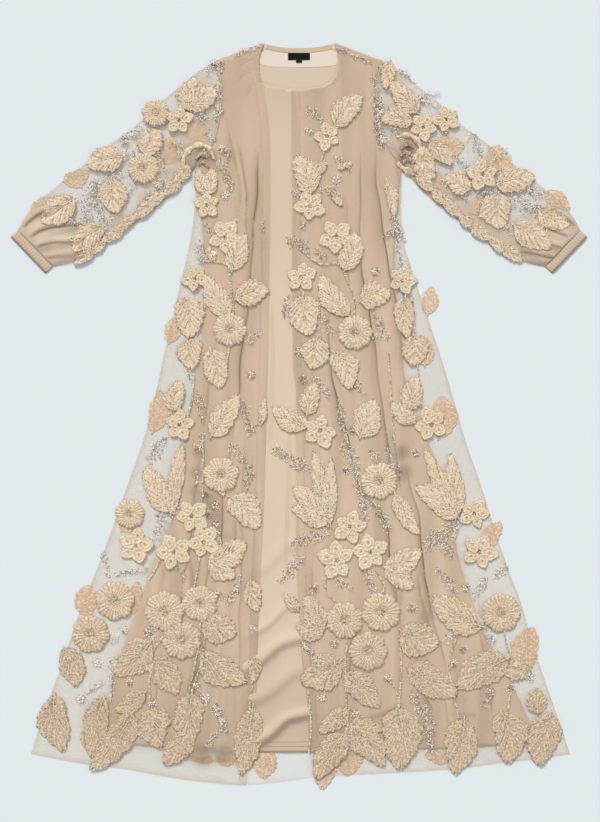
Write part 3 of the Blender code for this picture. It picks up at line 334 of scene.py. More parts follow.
# Wrong sides of the back's appliques, seen through the net: kind, x, y, length, width, angle
BACK_MOTIFS = (
    ("leaf", 158, 411, 84, 38, 80), ("leaf", 86, 600, 62, 42, 82), ("leaf", 136, 598, 66, 32, 86),
    ("leaf", 266, 765, 56, 46, -105), ("leaf", 325, 770, 80, 44, -100),
    ("leaf", 348, 762, 56, 48, -85), ("leaf", 443, 417, 84, 52, 82),
    ("leaf", 525, 648, 90, 52, 72), ("leaf", 200, 756, 56, 26, -20),
    ("leaf", 228, 759, 44, 24, 10), ("leaf", 430, 300, 56, 30, 80),
    ("leaf", 424, 350, 60, 36, 100), ("leaf", 172, 330, 50, 30, 80),
    ("leaf", 492, 534, 60, 34, 60), ("leaf", 90, 742, 60, 34, -80),
    ("leaf", 545, 745, 50, 30, -80), ("leaf", 437, 757, 50, 26, 170),
    ("leaf", 130, 521, 50, 34, 60),
)
BACK_SLEEVE_LEFT = (
    ("leaf", 77, 177, 54, 34, 20), ("leaf", 42, 205, 50, 30, 40), ("leaf", 168, 150, 60, 40, 70),
    ("leaf", 150, 205, 60, 30, 35), ("leaf", 196, 130, 56, 34, 0), ("leaf", 112, 160, 44, 24, 60),
)
BACK_SLEEVE_RIGHT = (
    ("leaf", 500, 159, 58, 46, -42), ("leaf", 558, 200, 60, 30, -38),
    ("leaf", 450, 147, 58, 44, 10), ("leaf", 436, 186, 60, 32, -38),
    ("leaf", 408, 120, 50, 30, -20), ("leaf", 480, 205, 50, 30, 40),
)
# Appliques folded over the sleeves' lower edges
EDGE_MOTIFS_LEFT = (
    ("leaf", 84, 257, 50, 22, 220), ("leaf", 99, 246, 46, 20, 36), ("leaf", 113, 235, 50, 22, 216),
    ("leaf", 128, 223, 48, 20, 40), ("leaf", 143, 211, 50, 24, 218),
    ("leaf", 158, 199, 46, 22, 38), ("leaf", 172, 188, 44, 24, 222),
    ("leaf", 184, 174, 40, 24, 50),
)
EDGE_MOTIFS_RIGHT = (
    ("leaf", 425, 184, 44, 24, -45), ("leaf", 438, 196, 48, 22, 138),
    ("leaf", 452, 209, 50, 22, -42), ("leaf", 466, 221, 46, 20, 140),
    ("leaf", 481, 233, 50, 24, -38), ("leaf", 496, 244, 46, 22, 142),
    ("leaf", 512, 254, 50, 24, -32),
)
# Extra appliques at the front: small ones that show behind a fold or beside a larger one
RIGHT_EXTRAS = (
    ("leaf", 338, 200, 30, 16, -60), ("leaf", 345, 166, 30, 14, 20),
    ("leaf", 322, 168, 28, 16, -110),
)
LEFT_EXTRAS = (("leaf", 263, 411, 52, 15, 82), ("leaf", 211, 254, 30, 16, 110))

# Silver twigs: x and y of the foot and of the tip, and how far the side twigs spread in mm
RIGHT_TWIGS = (
    (337, 49, 352, 56, 7), (352, 56, 372, 64, 7), (374, 96, 379, 122, 12), (381, 66, 384, 84, 7),
    (376, 118, 384, 146, 12), (372, 76, 378, 92, 8), (392, 196, 395, 212, 7),
    (396, 222, 404, 240, 9), (307, 107, 323, 123, 11), (336, 127, 342, 124, 7),
    (334, 157, 350, 170, 10), (292, 187, 298, 200, 9), (320, 186, 340, 200, 13),
    (324, 214, 316, 216, 9), (285, 236, 309, 251, 17), (325, 262, 316, 250, 9),
    (284, 318, 287, 295, 12), (318, 311, 334, 335, 14), (373, 314, 388, 340, 12),
    (371, 338, 390, 336, 9), (383, 237, 399, 229, 10), (393, 214, 398, 244, 10),
    (397, 246, 401, 268, 10), (312, 374, 330, 398, 13), (353, 378, 362, 394, 11),
    (339, 401, 345, 440, 12), (344, 438, 358, 478, 16), (357, 476, 366, 520, 13),
    (312, 472, 272, 448, 19), (330, 533, 291, 541, 20), (305, 556, 279, 582, 17),
    (372, 500, 390, 531, 17), (398, 478, 387, 448, 14), (464, 522, 424, 546, 24),
    (430, 528, 452, 556, 16), (335, 579, 352, 589, 11), (364, 566, 374, 594, 12),
    (436, 566, 454, 591, 14), (488, 578, 472, 598, 12), (493, 577, 507, 565, 12),
    (441, 641, 459, 629, 12), (425, 700, 431, 752, 19), (411, 690, 420, 714, 13),
    (318, 660, 304, 644, 9), (300, 640, 310, 655, 9), (369, 448, 384, 470, 10),
    (480, 705, 494, 694, 9),
)
LEFT_TWIGS = (
    (204, 432, 200, 450, 8), (199, 452, 192, 440, 7), (198, 470, 196, 486, 6),
    (219, 530, 221, 544, 6), (259, 48, 248, 51, 6), (247, 51, 236, 56, 6), (224, 62, 219, 78, 9),
    (220, 82, 218, 100, 8), (218, 104, 216, 124, 8), (222, 146, 230, 160, 11),
    (203, 182, 216, 190, 9), (206, 222, 212, 236, 9), (220, 158, 232, 192, 15),
    (204, 150, 216, 160, 10), (238, 221, 232, 228, 8), (199, 238, 201, 262, 12),
    (211, 247, 206, 262, 9), (264, 222, 263, 233, 8), (228, 272, 238, 266, 8),
    (246, 342, 263, 332, 11), (198, 392, 203, 421, 12), (243, 400, 249, 431, 13),
    (247, 436, 256, 424, 9), (168, 436, 148, 463, 17), (164, 511, 155, 537, 15),
    (230, 442, 244, 462, 13), (252, 464, 246, 488, 12), (104, 551, 108, 577, 9),
    (149, 568, 115, 574, 10), (178, 565, 185, 578, 8), (213, 594, 231, 600, 9),
    (228, 604, 241, 576, 10), (150, 623, 155, 641, 11), (104, 681, 85, 695, 7),
    (119, 634, 112, 642, 7), (200, 690, 208, 704, 11), (216, 700, 224, 730, 14),
    (205, 746, 220, 729, 10), (113, 655, 111, 700, 9), (224, 470, 232, 480, 8),
    (178, 500, 172, 520, 9), (190, 380, 186, 350, 8), (156, 470, 150, 486, 9),
)
LEFT_SLEEVE_TWIGS = (
    (60, 226, 74, 208, 10), (108, 196, 96, 180, 11), (150, 176, 160, 190, 9),
    (128, 150, 116, 166, 9), (196, 108, 208, 120, 11), (214, 84, 222, 100, 10),
    (206, 134, 216, 142, 10), (160, 132, 150, 140, 8), (98, 178, 84, 226, 22),
    (92, 186, 104, 222, 16), (119, 144, 141, 126, 11), (155, 147, 166, 172, 12),
    (167, 181, 146, 200, 13), (90, 184, 128, 173, 8), (144, 122, 158, 116, 8),
    (172, 140, 184, 160, 12), (176, 92, 181, 104, 8), (118, 212, 106, 226, 9),
    (204, 74, 222, 61, 10), (140, 146, 130, 160, 9), (64, 214, 78, 226, 9),
    (128, 190, 140, 180, 8), (186, 116, 176, 126, 9), (70, 240, 84, 236, 8),
)
RIGHT_SLEEVE_TWIGS = (
    (424, 96, 440, 92, 10), (446, 112, 458, 126, 10), (492, 160, 506, 150, 8),
    (526, 186, 540, 196, 12), (388, 108, 398, 124, 11), (410, 132, 424, 140, 9),
    (440, 180, 456, 192, 10), (500, 222, 512, 236, 9), (414, 96, 437, 105, 12),
    (381, 96, 378, 122, 12), (378, 124, 382, 150, 12), (470, 130, 481, 155, 15),
    (450, 154, 470, 168, 11), (474, 194, 494, 190, 10), (511, 196, 542, 214, 19),
    (520, 212, 536, 204, 12), (436, 118, 446, 134, 9), (404, 150, 410, 166, 8),
    (504, 186, 520, 192, 10), (460, 190, 466, 204, 10), (548, 226, 540, 240, 9),
    (428, 166, 440, 172, 8), (400, 70, 414, 82, 9), (390, 128, 404, 140, 9),
)
# Silver rosettes: x, y, and radius in mm
RIGHT_ROSETTES = (
    (309, 131, 8), (336, 181, 12), (303, 226, 8), (375, 272, 9), (320, 287, 7), (299, 352, 9),
    (303, 380, 9), (362, 504, 9), (334, 643, 9), (314, 588, 10), (412, 608, 10), (491, 638, 10),
    (388, 678, 9), (355, 713, 9), (465, 587, 9), (490, 692, 10), (530, 677, 9), (510, 688, 9),
    (453, 663, 8), (463, 649, 8), (322, 697, 9), (415, 453, 8), (346, 470, 7), (352, 430, 7),
    (482, 540, 8), (402, 642, 7), (330, 620, 7),
)
LEFT_ROSETTES = (
    (205, 494, 8), (215, 505, 9), (208, 514, 7), (216, 524, 7), (222, 493, 6), (251, 375, 9),
    (225, 196, 9), (98, 663, 11), (81, 699, 10), (124, 629, 8), (148, 632, 9), (130, 681, 9),
    (153, 702, 8), (217, 594, 8), (253, 627, 8), (196, 685, 9), (217, 711, 9), (207, 697, 8),
    (223, 721, 8), (236, 470, 7), (236, 590, 7), (214, 254, 6),
)
LEFT_SLEEVE_ROSETTES = (
    (124, 141, 8), (133, 134, 8), (201, 120, 9), (220, 112, 8), (214, 64, 8), (222, 150, 8),
)
RIGHT_SLEEVE_ROSETTES = (
    (380, 112, 8), (382, 140, 8), (486, 196, 8), (420, 100, 8), (402, 92, 7), (530, 190, 7),
)
# Beaded stems: the points that each follows
RIGHT_STEMS = (
    ((324, 152), (321, 163), (318, 173)),
    ((299, 249), (319, 264), (337, 264), (344, 274), (354, 299), (354, 316)),
    ((338, 400), (346, 436), (360, 484), (366, 522)), ((399, 636), (401, 667), (399, 707)),
    ((347, 642), (345, 667), (347, 723)), ((308, 690), (311, 721), (309, 751)),
    ((388, 352), (391, 398), (394, 442)), ((321, 291), (319, 326), (325, 361)),
    ((459, 626), (449, 666), (458, 716)), ((504, 631), (511, 676), (507, 713)),
    ((412, 296), (417, 362), (421, 406)), ((374, 566), (384, 586), (380, 594)),
    ((329, 560), (325, 588), (334, 600)), ((399, 707), (396, 690), (386, 676)),
)
LEFT_STEMS = (
    ((201, 261), (225, 264), (230, 275), (234, 316)),
    ((203, 436), (203, 478), (199, 561), (190, 600)), ((170, 627), (152, 656), (150, 705)),
    ((201, 623), (197, 656), (188, 694)), ((206, 626), (202, 660), (192, 690)),
    ((253, 676), (251, 696), (249, 716)), ((194, 373), (192, 400), (186, 424)),
    ((232, 330), (226, 366), (218, 384)), ((165, 540), (160, 560), (150, 578)),
    ((118, 655), (112, 676), (111, 700)),
)

COLOURS = {
    "gold": (0.96, 0.80, 0.53),
    "peach": (0.91, 0.665, 0.47),
    "net": (0.80, 0.61, 0.39),
    "sleeve_net": (0.80, 0.62, 0.43),
    "lined_net": (0.60, 0.455, 0.317),
    "dense_net": (0.80, 0.63, 0.46),
    "band_net": (0.74, 0.59, 0.43),
    # Painted shade for the net's fold hollows, edges and underarm hollows
    "net_fold": (0.20, 0.12, 0.075),
    "satin": (0.77, 0.62, 0.455),
    "satin_inside": (0.725, 0.58, 0.43),
    "facing": (0.86, 0.75, 0.63),
}


# Curves and outlines

def from_photo(x, y):
    """The garment's place, in mm, of a pixel of the photograph."""
    return (x - MIDDLE_X) * MM_PER_PIXEL, (MIDDLE_Y - y) * MM_PER_PIXEL


def placed(rows, points=1):
    """Rows of a table with their leading pixel places turned into mm. Text before them stays."""
    found = []
    for row in rows:
        first = 1 if isinstance(row[0], str) else 0
        places = [from_photo(*row[i:i + 2]) for i in range(first, first + 2 * points, 2)]
        found.append(row[:first] + tuple(v for q in places for v in q) + row[first + 2 * points:])
    return found


def lines_of(rows):
    """Lines of a table, from pixels to mm."""
    return [[from_photo(*q) for q in row] for row in rows]


def curve_through(points, step):
    """Points about a step apart on a smooth curve through the given ones, ends included."""
    p = np.array(points, float)
    p = np.vstack([2 * p[0] - p[1], p, 2 * p[-1] - p[-2]])
    found = []
    for i in range(1, len(p) - 2):
        count = max(1, round(float(np.linalg.norm(p[i + 1] - p[i])) / step))
        for t in np.arange(count) / count:
            found.append(0.5 * (2 * p[i] + (p[i + 1] - p[i - 1]) * t
                                + (2 * p[i - 1] - 5 * p[i] + 4 * p[i + 1] - p[i + 2]) * t * t
                                + (3 * p[i] - p[i - 1] - 3 * p[i + 1] + p[i + 2]) * t ** 3))
    found.append(p[-2])
    return np.array(found)


def mirrored(points):
    return [(-x, y) for x, y in points]


def side_curve(sides, column, step=GRID):
    return curve_through([(row[column], row[0]) for row in sides], step)


def inside(points, polygon):
    """Which points lie inside a closed outline."""
    x, y = points[:, 0], points[:, 1]
    found = np.zeros(len(points), bool)
    for (x0, y0), (x1, y1) in zip(polygon, np.roll(polygon, -1, axis=0)):
        rise = y1 - y0 if y1 != y0 else 1.0
        found ^= ((y0 > y) != (y1 > y)) & (x < (x1 - x0) * (y - y0) / rise + x0)
    return found


def distance_to(points, line):
    """How far each point is from the nearest place on a line."""
    best = np.full(len(points), np.inf)
    for a, b in zip(line[:-1], line[1:]):
        d = b - a
        t = np.clip(((points - a) @ d) / max(float(d @ d), 1e-9), 0, 1)
        best = np.minimum(best, np.linalg.norm(points - a - t[:, None] * d, axis=1))
    return best


def smooth(x, low, high):
    t = np.clip((x - low) / (high - low), 0, 1)
    return t * t * (3 - 2 * t)


def steps_along(line):
    """How far along a line each of its points is."""
    return np.concatenate([[0], np.cumsum(np.linalg.norm(np.diff(line, axis=0), axis=1))])


def turned_by(angle):
    """The matrix that turns rows of x and y by an angle."""
    return np.array([[math.cos(angle), math.sin(angle)], [-math.sin(angle), math.cos(angle)]])


def shifted(line, offset):
    """A line moved sideways, to the left of its run."""
    line = np.array(line, float)
    run = np.gradient(line, axis=0)
    run /= np.linalg.norm(run, axis=1)[:, None]
    return line + offset * np.column_stack([-run[:, 1], run[:, 0]])


# Heights of the sheets

def level(z):
    """A flat surface at one height."""
    return lambda p: np.full(len(p), z)


def satin_hem_at(p):
    return np.interp(p[:, 0], [q[0] for q in SATIN_HEM], [q[1] for q in SATIN_HEM])


def satin_edge_distance(p):
    """How far outside the slip's sides and hem each point is, and 0 on the slip."""
    rows = SATIN_SIDES[::-1]
    heights = [row[0] for row in rows]
    left = np.interp(p[:, 1], heights, [row[1] for row in rows])
    right = np.interp(p[:, 1], heights, [row[2] for row in rows])
    beside = np.maximum(left - p[:, 0], p[:, 0] - right)
    return np.clip(np.maximum(beside, satin_hem_at(p) - p[:, 1]), 0, None)


def neck_rise(p):
    """The front layers rise over the back neck's layers."""
    return LAYER * smooth(p[:, 1], RISE_LOW, RISE_HIGH)


def swell(p):
    """The slip's soft lengthwise waves, which fan out towards the hem."""
    fan = p[:, 0] / (205 + 0.235 * np.clip(500 - p[:, 1], 0, None))
    y = p[:, 1]
    wave = (0.9 * np.sin(13.0 * fan + 1.2 * np.sin(y / 210)) + 0.6 * np.sin(23.0 * fan + y / 260)
            + 0.35 * np.sin(41.0 * fan + 2 + y / 120))
    return wave * smooth(y, 640, 420) * (0.6 + 0.4 * np.sin(y / 170 + 3 * fan))


def fold_line(row, step=9.0):
    """A fold's line, with a slight wander."""
    line = curve_through([from_photo(*q) for q in row[-1]], step)
    steps = np.arange(len(line)) * step
    wander = 1.6 * np.sin(steps / 37.0 + line[0, 0]) + 0.9 * np.sin(steps / 15.0)
    return shifted(line, wander[:, None])


def round_patch(p, x, y, radius):
    """A share that is 1 at a pixel's place and falls off beyond a radius in mm."""
    away = np.linalg.norm(p - from_photo(x, y), axis=1)
    return np.exp(-(away / radius) ** 3)


def fold_terms(p, panel):
    """The height of the folds at each point, the painted shade of their hollows and the painted
    highlight on their lips.
    """
    heights, dark, lip_light = np.zeros(len(p)), np.zeros(len(p)), np.zeros(len(p))
    for row in FOLDS[panel]:
        lip, height, width, darkness, _ = row
        line = fold_line(row)
        low, high = line.min(axis=0) - width - 8, line.max(axis=0) + width + 8
        near = np.nonzero(np.all((p > low) & (p < high), axis=1))[0]
        if not len(near):
            continue
        q = p[near]
        steps = steps_along(line)
        best, across, travelled = np.full(len(q), np.inf), np.zeros(len(q)), np.zeros(len(q))
        for a, b, start in zip(line[:-1], line[1:], steps):
            d = b - a
            t = np.clip(((q - a) @ d) / float(d @ d), 0, 1)
            away = np.linalg.norm(q - a - t[:, None] * d, axis=1)
            side = np.sign(d[0] * (q[:, 1] - a[1]) - d[1] * (q[:, 0] - a[0]))
            closer = away < best
            best = np.where(closer, away, best)
            across = np.where(closer, away * side, across)
            travelled = np.where(closer, start + t * np.linalg.norm(d), travelled)
        across = across * lip
        share = travelled / steps[-1]
        taper = smooth(share, -0.02, 0.14) * smooth(share, 1.02, 0.86)
        taper = taper * (0.8 + 0.2 * np.sin(travelled / 50.0 + line[0, 0]))
        if width >= SOFT_WIDTH:
            rise = np.exp(-(across / (0.26 * width)) ** 2)
            hollow = np.exp(-((across + 0.24 * width) / (0.13 * width)) ** 2)
            lit, spread = 0.14 * width, 0.16 * width
        else:
            rise = smooth(across, -2.4, 0.4) * smooth(across, width, 1.0) ** 1.5
            close = 0.7 * np.exp(-np.clip(-across - 0.8, 0, None) / 1.9)
            wide = 0.36 * np.exp(-np.clip(-across, 0, None) / 11.0)
            hollow = (close + wide) * smooth(across, 0.8, -0.4)
            lit, spread = 3.0, 2.2
        # hollow is painted shade beside the lip; lit and spread place a painted highlight on the
        # lip
        heights[near] = np.maximum(heights[near], 1.25 * height * taper * rise)
        dark[near] = np.maximum(dark[near], darkness * taper * hollow)
        light = taper * darkness * np.exp(-((across - lit) / spread) ** 2)
        lip_light[near] = np.maximum(lip_light[near], light)
    # Painted shade in each sheet's deep hollows
    for x, y, radius, darkness in HOLLOWS.get(panel, ()):
        dark = np.maximum(dark, darkness * round_patch(p, x, y, radius))
    return heights, dark, lip_light


def fold_guides(panel):
    """Rows of points along a sheet's folds, closest in the hollows beside the lips."""
    return [shifted(fold_line(row), off * row[0]) for row in FOLDS[panel]
            for off in (-14, -9, -6, -4, -2.6, -1.4, -0.4, 0.7, 2.2, 3.8, 6, 11, 17)]


def ridges(p, rows, width, mirror=1):
    """The height of straight soft ridges at each point."""
    heights = np.zeros(len(p))
    for (ax, ay), (bx, by), height in rows:
        a, b = np.array((ax * mirror, ay), float), np.array((bx * mirror, by), float)
        d = b - a
        along = ((p - a) @ d) / (d @ d)
        away = np.linalg.norm(p - a - np.clip(along, 0, 1)[:, None] * d, axis=1)
        taper = smooth(along, -0.2, 0.25) * smooth(along, 1.15, 0.7)
        heights += height * taper * np.exp(-(away / (0.45 * width)) ** 2)
    return heights


def front_z(p, panel=None):
    """A net front: over the slip at first, and sunk to the net back beyond the slip's edge."""
    sink = smooth(satin_edge_distance(p), SINK_START, SINK_END)
    base = NET_FRONT_Z + neck_rise(p) + swell(p) * (1 - sink)
    z = base - sink * (NET_FRONT_Z - NET_LOW_Z)
    return z + fold_terms(p, panel)[0] if panel else z


def satin_front_z(p):
    turned = 0.7 * smooth(p[:, 1] - satin_hem_at(p), 22, 19)
    z = SATIN_FRONT_Z + neck_rise(p) + swell(p) + turned + fold_terms(p, "satin")[0]
    return np.maximum(z, SATIN_BACK_Z + 0.9)


def satin_marks(p):
    """The satin's painted shade and highlight: darker towards the hem, towards the neck and in the
    hollows of its creases, lighter on the creases' lips.
    """
    y = p[:, 1]
    # low is painted shade; lip is a painted highlight on the creases' lips
    low = 0.38 * smooth(-y, 380, 640) + 0.12 * smooth(y, 200, 420) + 0.12 * smooth(y, 540, 640)
    _, dark, lip_light = fold_terms(p, "satin")
    return {"low": np.clip(low + dark, 0, 1), "lip": lip_light}


def sleeve_z(p, mirror):
    """The upper side of a flattened sleeve: full in the middle, thin along its edges."""
    upper = curve_through(SLEEVE_UPPER, 20) * (mirror, 1)
    lower = curve_through(SLEEVE_LOWER, 20) * (mirror, 1)
    edge = np.minimum(distance_to(p, upper), distance_to(p, lower))
    full = np.sqrt(np.clip(edge / 26.0, 0, 1) * (2 - np.clip(edge / 26.0, 0, 1)))
    wave = 0.5 * np.sin(p[:, 0] * mirror / 17 + p[:, 1] / 29) * full
    panel = "sleeve_right" if mirror > 0 else "sleeve_left"
    folds = ridges(p, PUCKERS, 13, mirror) + fold_terms(p, panel)[0]
    return (SLEEVE_LOW_Z + 0.5 + (SLEEVE_TOP_Z - SLEEVE_LOW_Z - 0.5) * full + wave
            + folds * np.clip(edge / 8.0, 0.2, 1))


# Making meshes

def mesh_object(name, verts, faces, mat, attributes=(), smooth_faces=True):
    """An object from points in mm, with one material and number attributes for it."""
    data = bpy.data.meshes.new(name)
    data.from_pydata((np.asarray(verts, float) * MM).tolist(), [], faces)
    for key, values in dict(attributes).items():
        layer = data.attributes.new(key, "FLOAT", "POINT")
        layer.data.foreach_set("value", np.asarray(values, np.float32))
    if smooth_faces:
        data.polygons.foreach_set("use_smooth", np.ones(len(data.polygons), bool))
    data.materials.append(mat)
    made = bpy.data.objects.new(name, data)
    bpy.context.scene.collection.objects.link(made)
    return made


def sheet_points(outline, step=GRID, guides=()):
    """Points and triangles that fill an outline, with closer rows of points along the guides."""
    outline = np.array(outline, float)
    low, high = outline.min(axis=0), outline.max(axis=0)
    rows = np.arange(low[1] + step / 2, high[1], step * 0.9)
    grid = np.array([(x + (i % 2) * step / 2, y) for i, y in enumerate(rows)
                     for x in np.arange(low[0], high[0], step)])
    extra = np.vstack(guides) if len(guides) else np.zeros((0, 2))
    closed = np.vstack([outline, outline[:1]])
    if len(extra):
        cells = {(round(x / step), round(y / step)) for x, y in extra}
        grid = np.array([q for q in grid if (round(q[0] / step), round(q[1] / step)) not in cells])
    inner = np.vstack([grid, extra])
    inner = inner[inside(inner, outline)]
    inner = inner[distance_to(inner, closed) > step * 0.3]
    coords = [Vector((float(x), float(y))) for x, y in np.vstack([outline, inner])]
    n = len(outline)
    edges = [(i, (i + 1) % n) for i in range(n)]
    places, _, faces, *_ = delaunay_2d_cdt(coords, edges, [], 1, 0.01)
    return np.array([(q.x, q.y) for q in places]), [tuple(f) for f in faces]


def joined(parts):
    """One set of vertices, faces and attributes from several."""
    verts, faces, marks, first = [], [], {}, 0
    for v, f, a in parts:
        verts.append(v)
        faces += [tuple(i + first for i in face) for face in f]
        for key, values in a.items():
            marks.setdefault(key, []).append(values)
        first += len(v)
    return np.vstack(verts), faces, {k: np.concatenate(v) for k, v in marks.items()}


def tube_along(path, radius, sides=6):
    """A round cord along a path of 3-D points."""
    path = np.asarray(path, float)
    n = len(path)
    run = np.gradient(path, axis=0)
    run /= np.maximum(np.linalg.norm(run, axis=1)[:, None], 1e-9)
    side = np.cross(run, (0.0, 0.0, 1.0))
    side /= np.maximum(np.linalg.norm(side, axis=1)[:, None], 1e-9)
    up = np.cross(side, run)
    radius = np.broadcast_to(np.asarray(radius, float), (n,))
    turns = np.arange(sides) * 2 * math.pi / sides
    cos, sin = np.cos(turns)[None, :, None], np.sin(turns)[None, :, None]
    rings = path[:, None] + radius[:, None, None] * (cos * side[:, None] + sin * up[:, None])
    faces = []
    for a in range(0, (n - 1) * sides, sides):
        b = a + sides
        faces += [(a + j, a + (j + 1) % sides, b + (j + 1) % sides, b + j) for j in range(sides)]
    faces += [tuple(range(sides))[::-1], tuple((n - 1) * sides + j for j in range(sides))]
    return rings.reshape(-1, 3), faces


def grid_faces(rows, columns, wrap=False):
    """Quads over a grid of points, closed from the last column to the first if it wraps."""
    last = columns if wrap else columns - 1
    return [(r * columns + c, r * columns + (c + 1) % columns,
             (r + 1) * columns + (c + 1) % columns, (r + 1) * columns + c)
            for r in range(rows - 1) for c in range(last)]


# Appliques, each as a raised form on the plane

def leaf_form(length, width, rng, height=1.7, flow=0.0):
    """A leaf of corded ribs that fan forward from its midrib to a toothed edge, with a corded rim.

    With more flow the ribs start nearer its base and run along it.
    """
    ribs = max(5, round(length / (6.2 + 1.8 * flow)))
    n = ribs * 4 + 1
    half_t = np.array((0.0, 0.07, 0.2, 0.37, 0.54, 0.7, 0.81, 0.88, 0.94, 1.0))
    q = np.linspace(0.012, 0.992, n)[:, None]
    t = np.concatenate([-half_t[:0:-1], half_t])[None, :]
    a = np.abs(t)
    half = np.interp(q, (0, 0.06, 0.16, 0.32, 0.5, 0.68, 0.84, 0.94, 1.0),
                     (0.0, 0.45, 0.8, 0.99, 1.0, 0.85, 0.54, 0.27, 0.02))
    row = np.arange(n)[:, None]
    other_side = int(rng.integers(1, 4))
    cord = np.abs(np.sin(math.pi * (row + np.where(t < 0, 0, other_side)) / 4))
    bump = cord ** (0.85 + 0.8 * flow)
    teeth_turns = rng.uniform(4.5, 6.5) * q + np.where(t < 0, *rng.uniform(0, 1, 2))
    teeth = np.abs(np.sin(math.pi * teeth_turns)) ** 0.7
    start = 0.95 * q ** (3.6 + 4.0 * flow)
    x = start + (q - start) * a ** (0.7 - 0.1 * flow)
    x = x + 0.012 * bump * a ** 4 - 0.02 * (1 - teeth) * a ** 3
    full = 1 + rng.uniform(-0.12, 0.12) * np.sign(t)
    y = np.sign(t) * half * a * full * (1 + (0.06 * (bump - 0.5) + 0.17 * (teeth - 0.62)) * a ** 4)
    wobble = 1 + 0.09 * np.sin(rng.uniform(6, 10) * q + rng.uniform(0, 6) + 2 * np.sign(t)) * a ** 2
    bend = rng.uniform(-0.16, 0.16) * width
    x = (x - 0.5) * length
    y = y * wobble * width / 2 + bend * ((2 * x / length) ** 2 - 0.4)
    rim = np.exp(-((a - 0.91) / 0.055) ** 2)
    gap = np.exp(-((a - 0.80) / 0.045) ** 2)
    body = np.sin(math.pi * np.clip(a, 0, 1) ** 0.8 * 0.8 + 0.3) * (0.6 + 0.4 * half)
    z = 0.7 + height * body + (0.6 + 0.3 * flow) * bump * np.clip(a * 5, 0, 1) * (1 - rim)
    z = z + 0.6 * rim - 0.4 * gap
    z = z + 0.9 * (teeth - 0.5) * a ** 3 * np.sin(math.pi * q)
    z = z + rng.normal(0, 0.13, z.shape) + 0.35 * np.sin(5 * q + rng.uniform(0, 6))
    z = np.maximum(np.where(a > 0.999, 0.4, z), 0.3)
    # groove: painted shade between cords, inside the rim and beside the midrib; vein lines and rim
    # dots are partly darker thread
    groove = (0.46 + 0.5 * flow) * (1 - bump) * np.clip(a * 5, 0, 1) * (1 - rim)
    veins = (0.26, 0.40, 0.54, 0.68, 0.82) if length > 60 else (0.34, 0.56, 0.78)
    for share in veins:
        broken = 0.8 + 0.2 * np.sin(a * width * 1.1 + 9 * share + np.sign(t))
        line = np.exp(-((row - round(share * (n - 1))) / 1.3) ** 2) * (a > 0.05) * (a < 0.9)
        groove = np.maximum(groove, broken * line)
    dots = 0.8 * rim * (np.sin(2 * math.pi * q * length / 5.0 + 2 * np.sign(t)) > 0.1)
    midrib = 0.9 * np.clip(1.2 - a * 8, 0, 1)
    groove = np.maximum(np.maximum(groove, dots), np.maximum(midrib, 0.5 * gap))
    verts = np.stack([x, y, z], -1)
    verts[:, :, :2] += rng.normal(0, 0.13, verts[:, :, :2].shape)
    columns = t.size
    verts = verts.reshape(-1, 3)
    shade = groove.reshape(-1)
    faces = grid_faces(n, columns)
    rim = list(range(columns)) + [r * columns + columns - 1 for r in range(1, n)]
    rim += [(n - 1) * columns + c for c in range(columns - 2, -1, -1)]
    rim += [r * columns for r in range(n - 2, 0, -1)]
    first, count = len(verts), len(rim)
    foot = verts[rim] * (1, 1, 0)
    verts = np.vstack([verts, foot])
    around = [(i, (i + 1) % count) for i in range(count)]
    faces += [(rim[i], first + i, first + j, rim[j]) for i, j in around]
    faces.append(tuple(first + i for i in range(count))[::-1])
    # The walls down to the foot are fully darkened: painted shade
    shade = np.concatenate([shade, np.ones(count)])
    grid = verts[:n * columns].reshape(n, columns, 3)
    lines = [grid[:, columns // 2], grid[:, 1], grid[:, -2]]
    for share in veins:
        r = round(share * (n - 1))
        lines += [grid[r, columns // 2:-3], grid[r, columns // 2:2:-1]]
    places = np.vstack([beaded_line(line, 3.6) for line in lines])
    beads = np.column_stack([places, rng.uniform(0.8, 1.25, len(places))])
    spine = np.linspace(-0.56, 0.44, 16)
    path = np.stack([spine * length, bend * (4 * spine ** 2 - 0.4),
                     0.9 + height * 0.5 * (1.2 - 3.4 * spine ** 2)], -1)
    path[:, 2] = np.clip(path[:, 2], 0.8, None)
    cord, cord_faces = tube_along(path, np.linspace(1.5, 0.7, 16), 5)
    return joined([(verts, faces, {"shade": shade}),
                   (cord, cord_faces, {"shade": np.full(len(cord), 0.05)})]) + (beads,)


def beaded_line(line, gap):
    """Places a gap apart along a line of 3-D points."""
    steps = steps_along(line)
    at = np.arange(gap / 2, steps[-1], gap)
    return np.column_stack([np.interp(at, steps, line[:, i]) for i in range(3)])


def rosette_grid(reach, profile, count, rings, shade_profile):
    """A round form whose reach, height and shade are given by bearing and share of the radius."""
    turns = np.arange(count) * 2 * math.pi / count
    shares = np.linspace(0.02, 1.0, rings)[:, None]
    r = shares * reach(turns)[None, :]
    z = profile(shares, turns[None, :])
    verts = np.stack([r * np.cos(turns), r * np.sin(turns), z], -1).reshape(-1, 3)
    shade = np.broadcast_to(shade_profile(shares, turns[None, :]), z.shape).reshape(-1)
    faces = grid_faces(rings, count, True)
    faces.append(tuple(range(count))[::-1])
    first = len(verts)
    foot = verts[-count:].copy()
    foot[:, 2] = 0.0
    verts = np.vstack([verts, foot])
    base = (rings - 1) * count
    around = [(i, (i + 1) % count) for i in range(count)]
    faces += [(base + i, base + j, first + j, first + i) for i, j in around]
    faces.append(tuple(first + i for i in range(count)))
    # The walls down to the foot are fully darkened: painted shade
    return verts, faces, {"shade": np.concatenate([shade, np.ones(count)])}


